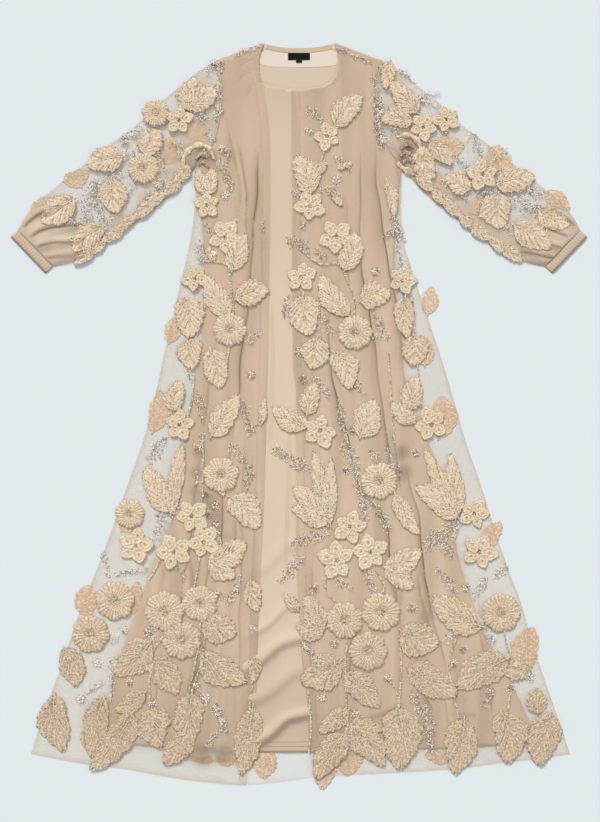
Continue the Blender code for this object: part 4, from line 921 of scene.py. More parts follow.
def daisy_form(length, _width, rng):
    """A daisy of narrow looped ridges in scalloped lobes, round a low hollow for its beads."""
    ridges_round = 27
    lobes, offset = int(rng.integers(7, 10)), rng.uniform(0, 1)

    def ridge(turns):
        uneven = 0.5 * np.sin(3 * turns + 5 * offset)
        return np.abs(np.cos(ridges_round * turns / 2 + offset + uneven))

    def scallop(turns):
        return np.abs(np.cos(lobes * turns / 2 + 2 * offset)) ** 0.6

    def reach(turns):
        return length / 2 * (0.86 + 0.13 * scallop(turns) + 0.03 * ridge(turns))

    def profile(s, turns):
        dome = 1.2 + 3.0 * np.sin(math.pi * np.clip(s, 0, 1) ** 0.9 * 0.8 + 0.32)
        z = dome + 1.3 * ridge(turns) ** 0.8 * np.clip((s - 0.2) * 6, 0, 1)
        z = z + 0.7 * scallop(turns) * s ** 2 - 1.2 * np.exp(-((s - 0.24) / 0.06) ** 2)
        z = z + rng.normal(0, 0.16, z.shape)
        z = 1.7 + (z - 1.7) * smooth(s, 0.15, 0.3)
        return np.where(s > 0.985, 0.4, z)

    # Painted shade between the ridges and the lobes, and a darker centre under the beads
    def dark(s, turns):
        between_ridges = (1 - ridge(turns) ** 0.8) * np.clip((s - 0.2) * 6, 0, 1)
        between_lobes = 0.9 * (1 - scallop(turns)) * s ** 2 * (s < 0.98)
        centre = 1.2 * smooth(s, 0.32, 0.22)
        return np.clip(np.maximum(1.3 * between_ridges, between_lobes) + centre, 0, 1)

    beads = ringed_beads(0, 0, 1.7, ((0, 1, 1.25), (3.2, 5, 1.25), (5.8, 9, 1.15)), rng)
    return rosette_grid(reach, profile, ridges_round * 4, 12, dark) + (np.array(beads),)


def blossom_form(length, _width, rng):
    """Five round petals, each a loop of thick cord round a smaller loop, drawn in to the centre."""
    parts = []
    radius = length / 2
    for petal in range(5):
        turn = 2 * math.pi * petal / 5 + rng.uniform(-0.2, 0.2)
        size = rng.uniform(0.84, 1.1)
        out = radius * rng.uniform(0.51, 0.54) * (0.35 + 0.65 * size)
        long, wide = radius * 0.54 * size, radius * rng.uniform(0.37, 0.43) * size
        lift = 0.8 * (petal % 2) + rng.uniform(0, 0.5)
        skew = rng.uniform(-0.5, 0.5)

        def reach(turns, long=long, wide=wide, skew=skew):
            drawn_in = 1 - 0.22 * np.clip(-np.cos(turns), 0, 1) ** 2 * np.abs(np.sin(turns + 0.8))
            ripple = 1 + 0.06 * np.cos(5 * turns + skew) + 0.04 * np.cos(12 * turns)
            oval = np.sqrt((np.cos(turns) / long) ** 2 + (np.sin(turns) / wide) ** 2)
            return drawn_in * ripple / oval

        def cords(s, turns, skew=skew):
            rim = np.exp(-((s - 0.80) / 0.15) ** 2)
            loop = np.exp(-((s - 0.36 - 0.10 * np.cos(turns - skew)) / 0.17) ** 2)
            return np.maximum(rim, 0.9 * loop)

        def profile(s, turns, lift=lift, cords=cords):
            z = lift + 1.4 + 1.3 * cords(s, turns) + 0.35 * np.sin(21 * turns + 9 * s)
            z = z + rng.normal(0, 0.2, z.shape)
            return np.where(s > 0.985, 0.4, z)

        # Painted shade between the cords; the dots near the rim mark its beaded outline
        def dark(s, turns, cords=cords):
            dots = 0.5 * (np.sin(12 * turns + 3 * skew) > 0.3) * np.exp(-((s - 0.9) / 0.08) ** 2)
            return np.clip(0.8 * (1 - cords(s, turns)) ** 1.2 * (s < 0.97) + dots, 0, 1)

        v, f, a = rosette_grid(reach, profile, 26, 12, dark)
        v[:, :2] = v[:, :2] @ turned_by(turn) + out * np.array([math.cos(turn), math.sin(turn)])
        parts.append((v, f, a))
    beads = ringed_beads(0, 0, 3.4, ((0, 1, 1.7), (2.7, 4, 1.2)), rng)
    return joined(parts) + (np.array(beads),)


def wrong_side_form(length, width, rng):
    """The flat wrong side of a leaf."""
    v, f, a, beads = leaf_form(length, width, rng, 0.5)
    v[:, 2] *= 0.3
    return v, f, a, beads


FORMS = {"leaf": leaf_form, "daisy": daisy_form, "blossom": blossom_form}
KIND_TINTS = {"leaf": 0.12, "daisy": 0.18, "blossom": -0.12}


def appliques(name, rows, surface, mat, tint, seed, form=None):
    """The appliques as one mesh, and rows for the beads sewn on them."""
    rng = np.random.default_rng(seed)
    parts, beads = [], []
    for kind, x, y, length, width, angle in rows:
        made = form or FORMS[kind]
        ribs = {"flow": float(smooth(-y, 300, 480))} if made is leaf_form else {}
        v, f, a, sewn = made(length * FULLER_LENGTH, width * FULLER_WIDTH, rng, **ribs)
        turn = rng.uniform(-3, 3) if kind == "leaf" else rng.uniform(0, 72)
        spin = turned_by(math.radians(angle + turn))
        v[:, :2] = v[:, :2] @ spin + (x, y)
        base = surface(v[:, :2])
        centre = surface(np.array([[x, y]], float))[0]
        lift = rng.uniform(0, 0.4)
        v[:, 2] += np.maximum(base, 0.35 * base + 0.65 * centre) + lift
        sewn[:, :2] = sewn[:, :2] @ spin + (x, y)
        under = surface(sewn[:, :2])
        sewn[:, 2] += np.maximum(0, 0.65 * (centre - under)) + lift - 0.2
        beads.append(sewn)
        shown = np.clip(tint(x, y) + KIND_TINTS[kind] + rng.normal(0, 0.08), 0, 1)
        a["tint"] = np.full(len(v), shown)
        # Appliques towards the hem are darker: painted shade
        a["shade"] = np.clip(a["shade"] + 0.32 * float(smooth(-y, 260, 560)), 0, 1)
        parts.append((v, f, a))
    v, f, a = joined(parts)
    return mesh_object(name, v, f, mat, a), np.vstack(beads)


# Beads

BEAD_LIFT, BEAD_GAP, TWIG_GAP = 0.3, 2.8, 6.2


def bead_shape():
    """The corners and faces of a round bead with twenty facets."""
    corners = [(0, 0, 1)]
    for z, start in ((0.4472, 0.0), (-0.4472, math.pi / 5)):
        for i in range(5):
            turn = start + 2 * math.pi * i / 5
            corners.append((0.8944 * math.cos(turn), 0.8944 * math.sin(turn), z))
    corners.append((0, 0, -1))
    upper = [(1 + i, 1 + (i + 1) % 5) for i in range(5)]
    lower = [(6 + i, 6 + (i + 1) % 5) for i in range(5)]
    facets = [(0, a, b) for a, b in upper]
    for (a, b), (c, d) in zip(upper, lower):
        facets += [(a, c, b), (b, c, d)]
    return np.array(corners), facets + [(c, 11, d) for c, d in lower]


def coarse_bead_shape():
    """The corners and faces of a small bead with eight facets."""
    corners = [(0, 0, 1), (1, 0, 0), (0, 1, 0), (-1, 0, 0), (0, -1, 0), (0, 0, -1)]
    ring = [(1 + i, 1 + (i + 1) % 4) for i in range(4)]
    bottom = [(5, b, a) for a, b in ring]
    return np.array(corners, float), [(0, a, b) for a, b in ring] + bottom


def bead_object(name, beads, surface, mat, seed, flatten=0.8, coarse=False):
    """Small faceted beads. Each row of beads is x, y, height above the surface, radius."""
    rng = np.random.default_rng(seed)
    beads = np.asarray(beads, float)
    radii = beads[:, 3]
    centres = np.column_stack([beads[:, :2], surface(beads[:, :2]) + beads[:, 2] + 0.6 * radii])
    turned = rng.uniform(0, math.pi, len(beads))
    corners, facets = coarse_bead_shape() if coarse else bead_shape()
    size = len(corners)
    shape = np.broadcast_to(corners, (len(beads), size, 3)).copy()
    x, y = shape[:, :, 0].copy(), shape[:, :, 1].copy()
    cos, sin = np.cos(turned)[:, None], np.sin(turned)[:, None]
    shape[:, :, 0], shape[:, :, 1] = x * cos - y * sin, x * sin + y * cos
    shape[:, :, 2] *= flatten
    verts = (centres[:, None] + radii[:, None, None] * shape).reshape(-1, 3)
    faces = [tuple(i * size + j for j in face) for i in range(len(beads)) for face in facets]
    # Each bead's glint: how far its colour goes from dark to bright, a painted glint and shadow
    glint = np.repeat(smooth(rng.uniform(0, 1, len(beads)), 0.15, 0.7), size)
    return mesh_object(name, verts, faces, mat, {"glint": glint}, smooth_faces=False)


def twig_beads(row, rng):
    """Seed beads up a stalk, with pointed side twigs of beads on both sides."""
    x0, y0, x1, y1, spread = row
    a, b = np.array((x0, y0), float), np.array((x1, y1), float)
    length = float(np.linalg.norm(b - a))
    along = (b - a) / length
    side = np.array((-along[1], along[0]))
    found = [a + along * s + side * 1.2 * math.sin(s / 9) for s in np.arange(0, length, BEAD_GAP)]
    for i, s in enumerate(np.arange(length * 0.06, length * 0.98, TWIG_GAP)):
        hand = 1 if i % 2 else -1
        reach = spread * (1.35 - 0.7 * s / length) * rng.uniform(0.7, 1.2)
        lean = rng.uniform(0.55, 1.0)
        direction = along * math.cos(lean) + side * hand * math.sin(lean)
        across = np.array((-direction[1], direction[0]))
        for d in np.arange(2.6, reach, BEAD_GAP):
            bulge = 1.9 * math.sin(math.pi * min(1.0, d / reach)) ** 0.8
            for w in ((0.0,) if bulge < 1.2 else (-bulge, bulge)):
                found.append(a + along * s + direction * d + across * w)
    found = np.array(found)
    found = found + rng.normal(0, 0.45, found.shape)
    lift = np.full(len(found), BEAD_LIFT)
    return np.column_stack([found, lift, rng.uniform(0.9, 1.5, len(found))])


def ringed_beads(x, y, lift, rings, rng):
    """Rings of beads round a point. Each ring is its radius, its count and its beads' radius."""
    found = []
    for reach, count, radius in rings:
        start = rng.uniform(0, 6)
        found += [(x + reach * math.cos(start + 2 * math.pi * i / count),
                   y + reach * math.sin(start + 2 * math.pi * i / count),
                   lift, radius * rng.uniform(0.85, 1.1)) for i in range(count)]
    return found


def rosette_beads(row, rng):
    """A centre bead, five larger ones round it and an outer ring of ten."""
    x, y, radius = row
    rings = ((0, 1, 1.7), (radius * 0.5, 5, 2.3), (radius * 0.95, 10, 1.3))
    return ringed_beads(x, y, BEAD_LIFT, rings, rng)


def spray_beads(twigs, rosettes, rng):
    """The silver beads of a panel's twigs and rosettes."""
    return np.vstack([twig_beads(row, rng) for row in placed(twigs, 2)]
                     + [rosette_beads(row, rng) for row in placed(rosettes)])


def stem_beads(stems, rng):
    """Two strands of small beads wound round each other along each stem."""
    found = []
    for row in stems:
        line = curve_through(row, 2.9)
        turns = np.arange(len(line)) * 1.1
        for hand in (1, -1):
            places = shifted(line, 1.15 * hand * np.sin(turns)[:, None])
            lift = BEAD_LIFT + 0.5 * hand * np.cos(turns) + 0.5
            found.append(np.column_stack([places, lift, rng.uniform(1.05, 1.45, len(line))]))
    return np.vstack(found)


def rolls(name, lines, surface, mat, radius=5.5):
    """Bunched rolls of applique, lumpy and flattened, along lines on the sheet."""
    parts, sides = [], 14
    for row in lines_of(lines):
        line = curve_through(row, 2.2)
        i = np.arange(len(line))
        ends = np.sin(math.pi * np.clip((i + 1.5) / (len(line) + 2), 0, 1)) ** 0.4
        wide = radius * ends * (1 + 0.12 * np.sin(i * 1.35) + 0.28 * np.sin(i * 0.55 + line[0, 1]))
        v, f = tube_along(np.column_stack([line, np.zeros(len(line))]), wide, sides)
        turned = np.tile(np.arange(sides), len(line))
        rib = 0.5 + 0.5 * np.sin(np.repeat(i, sides) * 1.35 + turned * 0.9)
        v[:, 2] = np.maximum(surface(v[:, :2]) + 0.75 * (v[:, 2] + 0.35 * radius), 0.1)
        # shade is painted shade between the roll's lumps
        parts.append((v, f, {"shade": 0.35 * rib, "tint": np.full(len(v), 0.6)}))
    v, f, a = joined(parts)
    return mesh_object(name, v, f, mat, a)


# Materials

def material(name, colour, roughness, **sockets):
    made = bpy.data.materials.new(name)
    made.use_nodes = True
    shader = made.node_tree.nodes["Principled BSDF"]
    shader.inputs["Base Color"].default_value = (*colour, 1.0)
    shader.inputs["Roughness"].default_value = roughness
    for key, value in sockets.items():
        shader.inputs[key.replace("_", " ")].default_value = value
    return made


class Nodes:
    """Short calls for a material's nodes."""

    def __init__(self, made):
        self.tree = made.node_tree
        self.shader = self.tree.nodes["Principled BSDF"]
        self.place = self.add("ShaderNodeTexCoord").outputs["Object"]

    def add(self, kind, **values):
        node = self.tree.nodes.new(kind)
        for key, value in values.items():
            setattr(node, key, value)
        return node

    def link(self, a, b):
        self.tree.links.new(a, b)

    def scaled(self, x, y, z, angle=0.0):
        node = self.add("ShaderNodeMapping")
        node.inputs["Scale"].default_value = (x, y, z)
        node.inputs["Rotation"].default_value = (0.0, 0.0, angle)
        self.link(self.place, node.inputs["Vector"])
        return node.outputs["Vector"]

    def noise(self, scale, detail=2.0, vector=None):
        node = self.add("ShaderNodeTexNoise")
        node.inputs["Scale"].default_value = scale
        node.inputs["Detail"].default_value = detail
        self.link(vector or self.place, node.inputs["Vector"])
        return node.outputs["Fac"]

    def attribute(self, name):
        return self.add("ShaderNodeAttribute", attribute_name=name).outputs["Fac"]

    def mapped(self, value, low, high, to_low, to_high):
        node = self.add("ShaderNodeMapRange", clamp=True)
        self.link(value, node.inputs["Value"])
        keys = ("From Min", "From Max", "To Min", "To Max")
        for key, number in zip(keys, (low, high, to_low, to_high)):
            node.inputs[key].default_value = number
        return node.outputs["Result"]

    def math(self, operation, a, b):
        node = self.add("ShaderNodeMath", operation=operation)
        for socket, value in zip(node.inputs, (a, b)):
            if isinstance(value, (int, float)):
                socket.default_value = value
            else:
                self.link(value, socket)
        return node.outputs[0]

    def mix(self, factor, a, b, blend="MIX"):
        node = self.add("ShaderNodeMix", data_type="RGBA", blend_type=blend)
        if isinstance(factor, (int, float)):
            node.inputs[0].default_value = factor
        else:
            self.link(factor, node.inputs[0])
        for socket, value in ((node.inputs[6], a), (node.inputs[7], b)):
            if isinstance(value, tuple):
                socket.default_value = (*value, 1.0)
            else:
                self.link(value, socket)
        return node.outputs[2]

    def bump(self, height, strength, distance):
        node = self.add("ShaderNodeBump")
        node.inputs["Strength"].default_value = strength
        node.inputs["Distance"].default_value = distance
        self.link(height, node.inputs["Height"])
        self.link(node.outputs["Normal"], self.shader.inputs["Normal"])

    def paint(self, colour):
        self.link(colour, self.shader.inputs["Base Color"])


def thread_material(name, low, high, dark):
    """Matt twisted thread: crumbly, with darker hollows and small bright stitches, painted as shade
    in its grooves and pits and as highlights on the tops of its crumb.
    """
    made = material(name, low, 0.7, Sheen_Weight=0.2, Sheen_Roughness=0.4)
    n = Nodes(made)
    crumb = n.noise(270.0, 3.0)
    grain = n.add("ShaderNodeTexVoronoi", feature="F1")
    grain.inputs["Scale"].default_value = 400.0
    n.link(n.place, grain.inputs["Vector"])
    colour = n.mix(n.attribute("tint"), low, high)
    colour = n.mix(n.mapped(n.noise(22.0, 2.0), 0.35, 0.65, 0.0, 0.25), colour, (0.95, 0.80, 0.58))
    # The shade attribute: painted shade in grooves, on the forms' walls and on lower appliques;
    # vein lines and rim dots are partly darker thread
    colour = n.mix(n.math("MULTIPLY", n.attribute("shade"), 0.88), colour, dark)
    # Crumb and grain darken the bump's hollows and pits and lighten its tops: painted shade and
    # highlight
    colour = n.mix(n.mapped(crumb, 0.36, 0.52, 0.34, 0.0), colour, dark)
    colour = n.mix(n.mapped(crumb, 0.50, 0.62, 0.0, 0.5), colour, (1.0, 0.93, 0.79))
    colour = n.mix(n.mapped(grain.outputs["Distance"], 0.5, 0.85, 0.0, 0.22), colour, dark)
    n.paint(colour)
    pits = n.math("MULTIPLY", grain.outputs["Distance"], 0.6)
    n.bump(n.math("SUBTRACT", crumb, pits), 0.8, 0.0018)
    return made


def net_material(name, thread, holes):
    """Tulle: a fine net, denser where it is doubled, tan over the slip, with painted shade along
    its folds.
    """
    made = material(name, COLOURS[name], 0.8)
    n = Nodes(made)
    cells = n.add("ShaderNodeTexVoronoi", voronoi_dimensions="2D", feature="DISTANCE_TO_EDGE")
    cells.inputs["Scale"].default_value = 520.0
    cells.inputs["Randomness"].default_value = 0.4
    n.link(n.scaled(1.0, 0.86, 1.0, 0.3), cells.inputs["Vector"])
    threads = n.mapped(cells.outputs["Distance"], 0.04, 0.11, thread, holes)
    # fold makes the net more opaque, as doubled net is, and darkens it: painted shade in hollows
    # and along edges
    fold = n.attribute("fold")
    doubled = n.math("MULTIPLY", n.attribute("dense"), 0.75)
    cover = n.math("ADD", n.math("MULTIPLY", fold, 0.95), doubled)
    alpha = n.math("MINIMUM", n.math("ADD", threads, cover), 0.97)
    n.link(alpha, n.shader.inputs["Alpha"])
    patchy = n.mapped(n.noise(9.0, 2.0), 0.35, 0.65, 0.0, 0.4)
    colour = n.mix(patchy, COLOURS[name], tuple(0.92 * v for v in COLOURS[name]))
    colour = n.mix(n.math("MULTIPLY", n.attribute("dense"), 0.8), colour, COLOURS["dense_net"])
    # Soft lengthwise bands of lighter and darker net over the slip: painted light and shade of
    # drape folds
    bands = n.mapped(n.noise(1.0, 2.0, n.scaled(30.0, 2.6, 1.0)), 0.36, 0.64, 0.0, 1.0)
    over_slip = n.mix(bands, COLOURS["lined_net"], (0.87, 0.69, 0.51))
    colour = n.mix(n.attribute("lined"), colour, over_slip)
    # A painted highlight on the folds' lips, then painted shade in their hollows
    colour = n.mix(n.math("MULTIPLY", n.attribute("lip"), 0.6), colour, (0.93, 0.77, 0.59))
    colour = n.mix(fold, colour, COLOURS["net_fold"])
    n.paint(colour)
    return made


def satin_material(name):
    """Satin with a fine weave, darker with painted shade in its creases' hollows, towards the hem
    and the neck, and lighter with a painted highlight on the creases' lips.
    """
    made = material(name, COLOURS[name], 0.36, Specular_IOR_Level=0.35,
                    Sheen_Weight=0.15, Sheen_Roughness=0.35)
    n = Nodes(made)
    soft = n.noise(5.0, 3.0, n.scaled(1.0, 0.35, 1.0))
    weave = n.noise(900.0, 2.0, n.scaled(1.0, 0.12, 1.0))
    colour = n.mix(n.mapped(soft, 0.35, 0.65, 0.0, 0.25), COLOURS[name], (0.70, 0.545, 0.385))
    colour = n.mix(n.mapped(weave, 0.3, 0.7, 0.0, 0.1), colour, (0.62, 0.47, 0.33))
    # Painted shade from the low attribute, then a painted highlight on the creases' lips
    colour = n.mix(n.attribute("low"), colour, (0.42, 0.30, 0.205))
    colour = n.mix(n.math("MULTIPLY", n.attribute("lip"), 0.16), colour, (0.97, 0.84, 0.67))
    n.paint(colour)
    n.link(n.mapped(weave, 0.3, 0.7, 0.32, 0.46), n.shader.inputs["Roughness"])
    n.bump(n.math("ADD", weave, n.math("MULTIPLY", soft, 4.0)), 0.25, 0.0008)
    return made


def plain_cloth(name, colour, darker, scale=1200.0, roughness=0.75):
    """Plain woven cloth."""
    made = material(name, colour, roughness, Specular_IOR_Level=0.12)
    n = Nodes(made)
    weave = n.noise(scale, 2.0)
    n.paint(n.mix(n.mapped(weave, 0.35, 0.65, 0.0, 1.0), colour, darker))
    n.bump(weave, 0.5, 0.0006)
    return made


def bead_material(name, low, high, metallic, roughness):
    """Beads, each between a low and a high colour by its glint: painted glints and shadows on beads
    that are not metallic, partly also their own mixed colours.
    """
    made = material(name, low, roughness, Metallic=metallic)
    n = Nodes(made)
    n.paint(n.mix(n.attribute("glint"), low, high))
    return made


# The garment's pieces

def body_outline(neck, sides, hem, step=GRID):
    """The outline of a back, or of the slip's front, clockwise from its neck."""
    shoulder = curve_through(SHOULDER, step)[1:]
    armhole = curve_through(ARMHOLE, step)[1:]
    return np.vstack([
        curve_through(neck, step), shoulder, armhole, side_curve(sides, 2, step)[1:],
        curve_through(hem, step)[1:-1][::-1], side_curve(sides, 1, step)[1:][::-1],
        np.array(mirrored(armhole))[::-1], np.array(mirrored(shoulder))[::-1][:-1],
    ])


def front_outline(side, step=GRID):
    """The outline of a net front, down its open edge and back up its side."""
    left = side == "left"
    neck, edge = (LEFT_NECK, LEFT_EDGE) if left else (RIGHT_NECK, RIGHT_EDGE)
    shoulder, armhole = (mirrored(SHOULDER), mirrored(ARMHOLE)) if left else (SHOULDER, ARMHOLE)
    hem = curve_through(NET_HEM, step)
    if left:
        hem = hem[(hem[:, 0] > NET_SIDES[-1][1] + 1) & (hem[:, 0] < edge[-1][0] - 5)][::-1]
    else:
        hem = hem[(hem[:, 0] > edge[-1][0] + 5) & (hem[:, 0] < NET_SIDES[-1][2] - 1)]
    return np.vstack([
        curve_through(neck, step)[:-1], curve_through(edge, step), hem,
        side_curve(NET_SIDES, 1 if left else 2, step)[::-1][:-1],
        curve_through(armhole, step)[::-1][:-1], curve_through(shoulder, step)[::-1][:-1],
    ])


def strip_outline(line, width):
    """The outline of a strip on the left of a line."""
    line = np.array(line)
    return np.vstack([line, shifted(line, width)[::-1]])


def cloth(name, outline, surface, mat, marks=None, guides=(), step=GRID, thick=0.0):
    """A sheet over an outline, at the surface's height, with marks for its material."""
    places, faces = sheet_points(outline, step, guides)
    z = surface(places)
    made = mesh_object(name, np.column_stack([places, z]), faces, mat,
                       marks(places) if marks else {})
    if thick:
        wall = made.modifiers.new("thickness", "SOLIDIFY")
        wall.thickness = thick * MM
        wall.offset = -1.0
    return made


def rides(piece, slot, *nodes):
    """Puts a piece on the garment's one body, and in place of the nodes that it stands for."""
    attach(piece, "root")
    if nodes:
        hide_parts(*nodes)
    return piece


def unmarked(p):
    return {"fold": np.zeros(len(p)), "dense": np.zeros(len(p))}


def stitches(name, lines, surface, mat, length=3.2, gap=1.6, width=0.5):
    """Rows of small raised stitches along lines."""
    parts = []
    for line in lines:
        line = np.asarray(line, float)
        steps = steps_along(line)
        for s in np.arange(0, steps[-1] - length, length + gap):
            ends = [np.array([np.interp(d, steps, line[:, 0]), np.interp(d, steps, line[:, 1])])
                    for d in (s, s + length / 2, s + length)]
            z = surface(np.array(ends)) + (0.1, 0.45, 0.1)
            v, f = tube_along(np.column_stack([ends, z]), width, 4)
            parts.append((v, f, {}))
    v, f, a = joined(parts)
    return mesh_object(name, v, f, mat, a)


def plain_tint(amount):
    return lambda x, y: amount


def make_body(mats):
    """The net back, and the slip's back and front."""
    outline = body_outline(BACK_NECK, NET_SIDES, NET_HEM)

    def ripple(p):
        return NET_BACK_Z + 0.25 * np.sin(p[:, 0] / 31) * np.sin(p[:, 1] / 47)

    def marks(p):
        return {"fold": edge_shade(p, outline), "dense": np.zeros(len(p))}

    back = cloth("net_back_sheet", outline, ripple, mats["net"], marks, step=14.0)
    rides(back, "net", "net_back")
    sewn_on, _ = appliques("appliques_back", placed(BACK_MOTIFS), level(NET_BACK_Z),
                           mats["wrong_side"], plain_tint(0.7), seed=61, form=wrong_side_form)
    rides(sewn_on, "net")

    outline = body_outline(BACK_NECK, SATIN_SIDES, SATIN_HEM)
    piece = cloth("satin_back_sheet", outline, level(SATIN_BACK_Z), mats["satin_inside"],
                  step=16.0, thick=0.4)
    rides(piece, "satin", "satin_back")
    outline = body_outline(SCOOP_NECK, SATIN_SIDES, SATIN_HEM)
    guides = fold_guides("satin")
    guides += [curve_through(SATIN_HEM, GRID) + (0, up) for up in (17, 19, 21, 23)]
    piece = cloth("satin_front_sheet", outline, satin_front_z, mats["satin"], satin_marks, guides,
                  thick=0.5)
    rides(piece, "satin", "satin_front")
    hem = curve_through(SATIN_HEM, 6)
    seen = hem[(hem[:, 0] > -100) & (hem[:, 0] < 40)]
    sewn = stitches("satin_hem_stitches", [seen + (0, up) for up in (2.5, 11.5, 20.5)],
                    lambda p: satin_front_z(p) + 0.1, mats["stitch"], 3.0, 1.2, 0.55)
    rides(sewn, "satin")


def edge_shade(p, outline, strength=0.13, width=3.0):
    """A thin darker line along a sheet's edge."""
    closed = np.vstack([outline, outline[:1]])
    return strength * np.exp(-(distance_to(p, closed) / width) ** 2)


def make_front(side, mats):
    """A net front with all that is sewn on it, and the band on its neck edge."""
    left = side == "left"
    outline = front_outline(side)
    edge = LEFT_EDGE if left else RIGHT_EDGE
    inward = -1.0 if left else 1.0

    def marks(p):
        _, dark, lip_light = fold_terms(p, side)
        y, rising = p[:, 1], edge[::-1]
        edge_x = np.interp(y, [q[1] for q in rising], [q[0] for q in rising])
        from_edge = np.abs(edge_x - p[:, 0])
        turned = 0.2 * smooth(from_edge, 17, 15) * (y < edge[0][1])
        line = 0.3 * np.exp(-((from_edge - 16) / 1.2) ** 2) * (y < edge[0][1])
        paler = (0.32 if left else 0.18) * smooth(y, 260, 480)
        lined = smooth(satin_edge_distance(p), 6, 0) * (1 - paler)
        # fold: painted shade in fold hollows, a darker line where the turned edge ends and along
        # the edge; lip: painted highlight
        fold = np.maximum(np.maximum(dark, line), edge_shade(p, outline)) + 0.035 * lined
        return {"fold": fold, "dense": turned + 0.24 * lined, "lined": lined, "lip": lip_light}

    def surface(p):
        return front_z(p, side)

    line = curve_through(edge, GRID)
    guides = fold_guides(side) + [line + (off * inward, 0) for off in (3.0, 14.0, 16.0, 18.0)]
    piece = cloth(f"net_front_{side}_sheet", outline, surface, mats["net"], marks, guides)
    rides(piece, "net", f"net_front_{side}")

    if left:
        rows, twigs, rosettes, stems = LEFT_MOTIFS, LEFT_TWIGS, LEFT_ROSETTES, LEFT_STEMS
        extras, motif_seed, spray_seed = LEFT_EXTRAS, 11, 21
    else:
        rows, twigs, rosettes, stems = RIGHT_MOTIFS, RIGHT_TWIGS, RIGHT_ROSETTES, RIGHT_STEMS
        extras, motif_seed, spray_seed = RIGHT_EXTRAS, 12, 22

    def tint(x, y):
        return 0.22 + 0.2 * float(satin_edge_distance(np.array([[x, y]], float))[0] > 4)

    sewn_on, motif_beads = appliques(f"appliques_{side}", list(rows) + placed(extras), surface,
                                     mats["thread"], tint, motif_seed)
    rng = np.random.default_rng(spray_seed)
    silver = bead_object(f"silver_beads_{side}", spray_beads(twigs, rosettes, rng), surface,
                         mats["silver"], seed=31)
    dotted = bead_object(f"motif_beads_{side}", motif_beads, surface, mats["vein_bead"], seed=32,
                         coarse=True)
    strands = bead_object(f"beaded_stems_{side}", stem_beads(lines_of(stems), rng), surface,
                          mats["pearl"], seed=33, flatten=1.0)
    trims = [rides(trim, "net") for trim in (sewn_on, silver, dotted, strands)]

    neck = curve_through(LEFT_NECK if left else RIGHT_NECK[:4], 5)
    band = np.vstack([neck + (0.6 * inward, 0), (neck + (BAND_WIDTH * inward, 0))[::-1]])
    piece = cloth(f"neck_band_{side}_sheet", band, lambda p: front_z(p) + BAND_LIFT,
                  mats["band_net"], unmarked, step=5.0)
    rides(piece, "net", f"neck_band_{side}")


def make_neck(mats):
    """The facing, binding, label and tab inside the back neck."""
    top = curve_through([(x, y - 10) for x, y in BACK_NECK], 8)[1:-1]
    bottom = curve_through([(84, 706), (60, 699), (0, 697), (-60, 699), (-84, 706)], 8)
    outline = np.vstack([top, [(86, 722)], bottom, [(-86, 722)]])
    piece = cloth("neck_facing_sheet", outline, lambda p: FACING_Z + 0.15 * np.sin(p[:, 0] / 21),
                  mats["facing"], step=5.0)
    rides(piece, "facing", "neck_facing")
    line = curve_through([(x, y - 0.6) for x, y in BACK_NECK[::-1]], 6)[1:-1]
    outline = strip_outline(line, 9.0)
    piece = cloth("neck_binding_sheet", outline, level(BINDING_Z), mats["binding"], step=4.0)
    rides(piece, "net", "neck_binding")
    for name, y, w, h in (("label", 718, *LABEL_SIZE), ("size_tab", 708, 12, 5)):
        xs, ys = np.linspace(-w / 2, w / 2, 12), np.linspace(y - h / 2, y + h / 2, 6)
        outline = np.array([(a, ys[0]) for a in xs] + [(xs[-1], b) for b in ys[1:]]
                           + [(a, ys[-1]) for a in xs[-2::-1]] + [(xs[0], b) for b in ys[-2:0:-1]])
        tag = cloth(name + "_sheet", outline, lambda p: LABEL_Z + 0.3 * np.cos(p[:, 0] / 9),
                    mats["label"], step=3.0)
        rides(tag, "label", name)


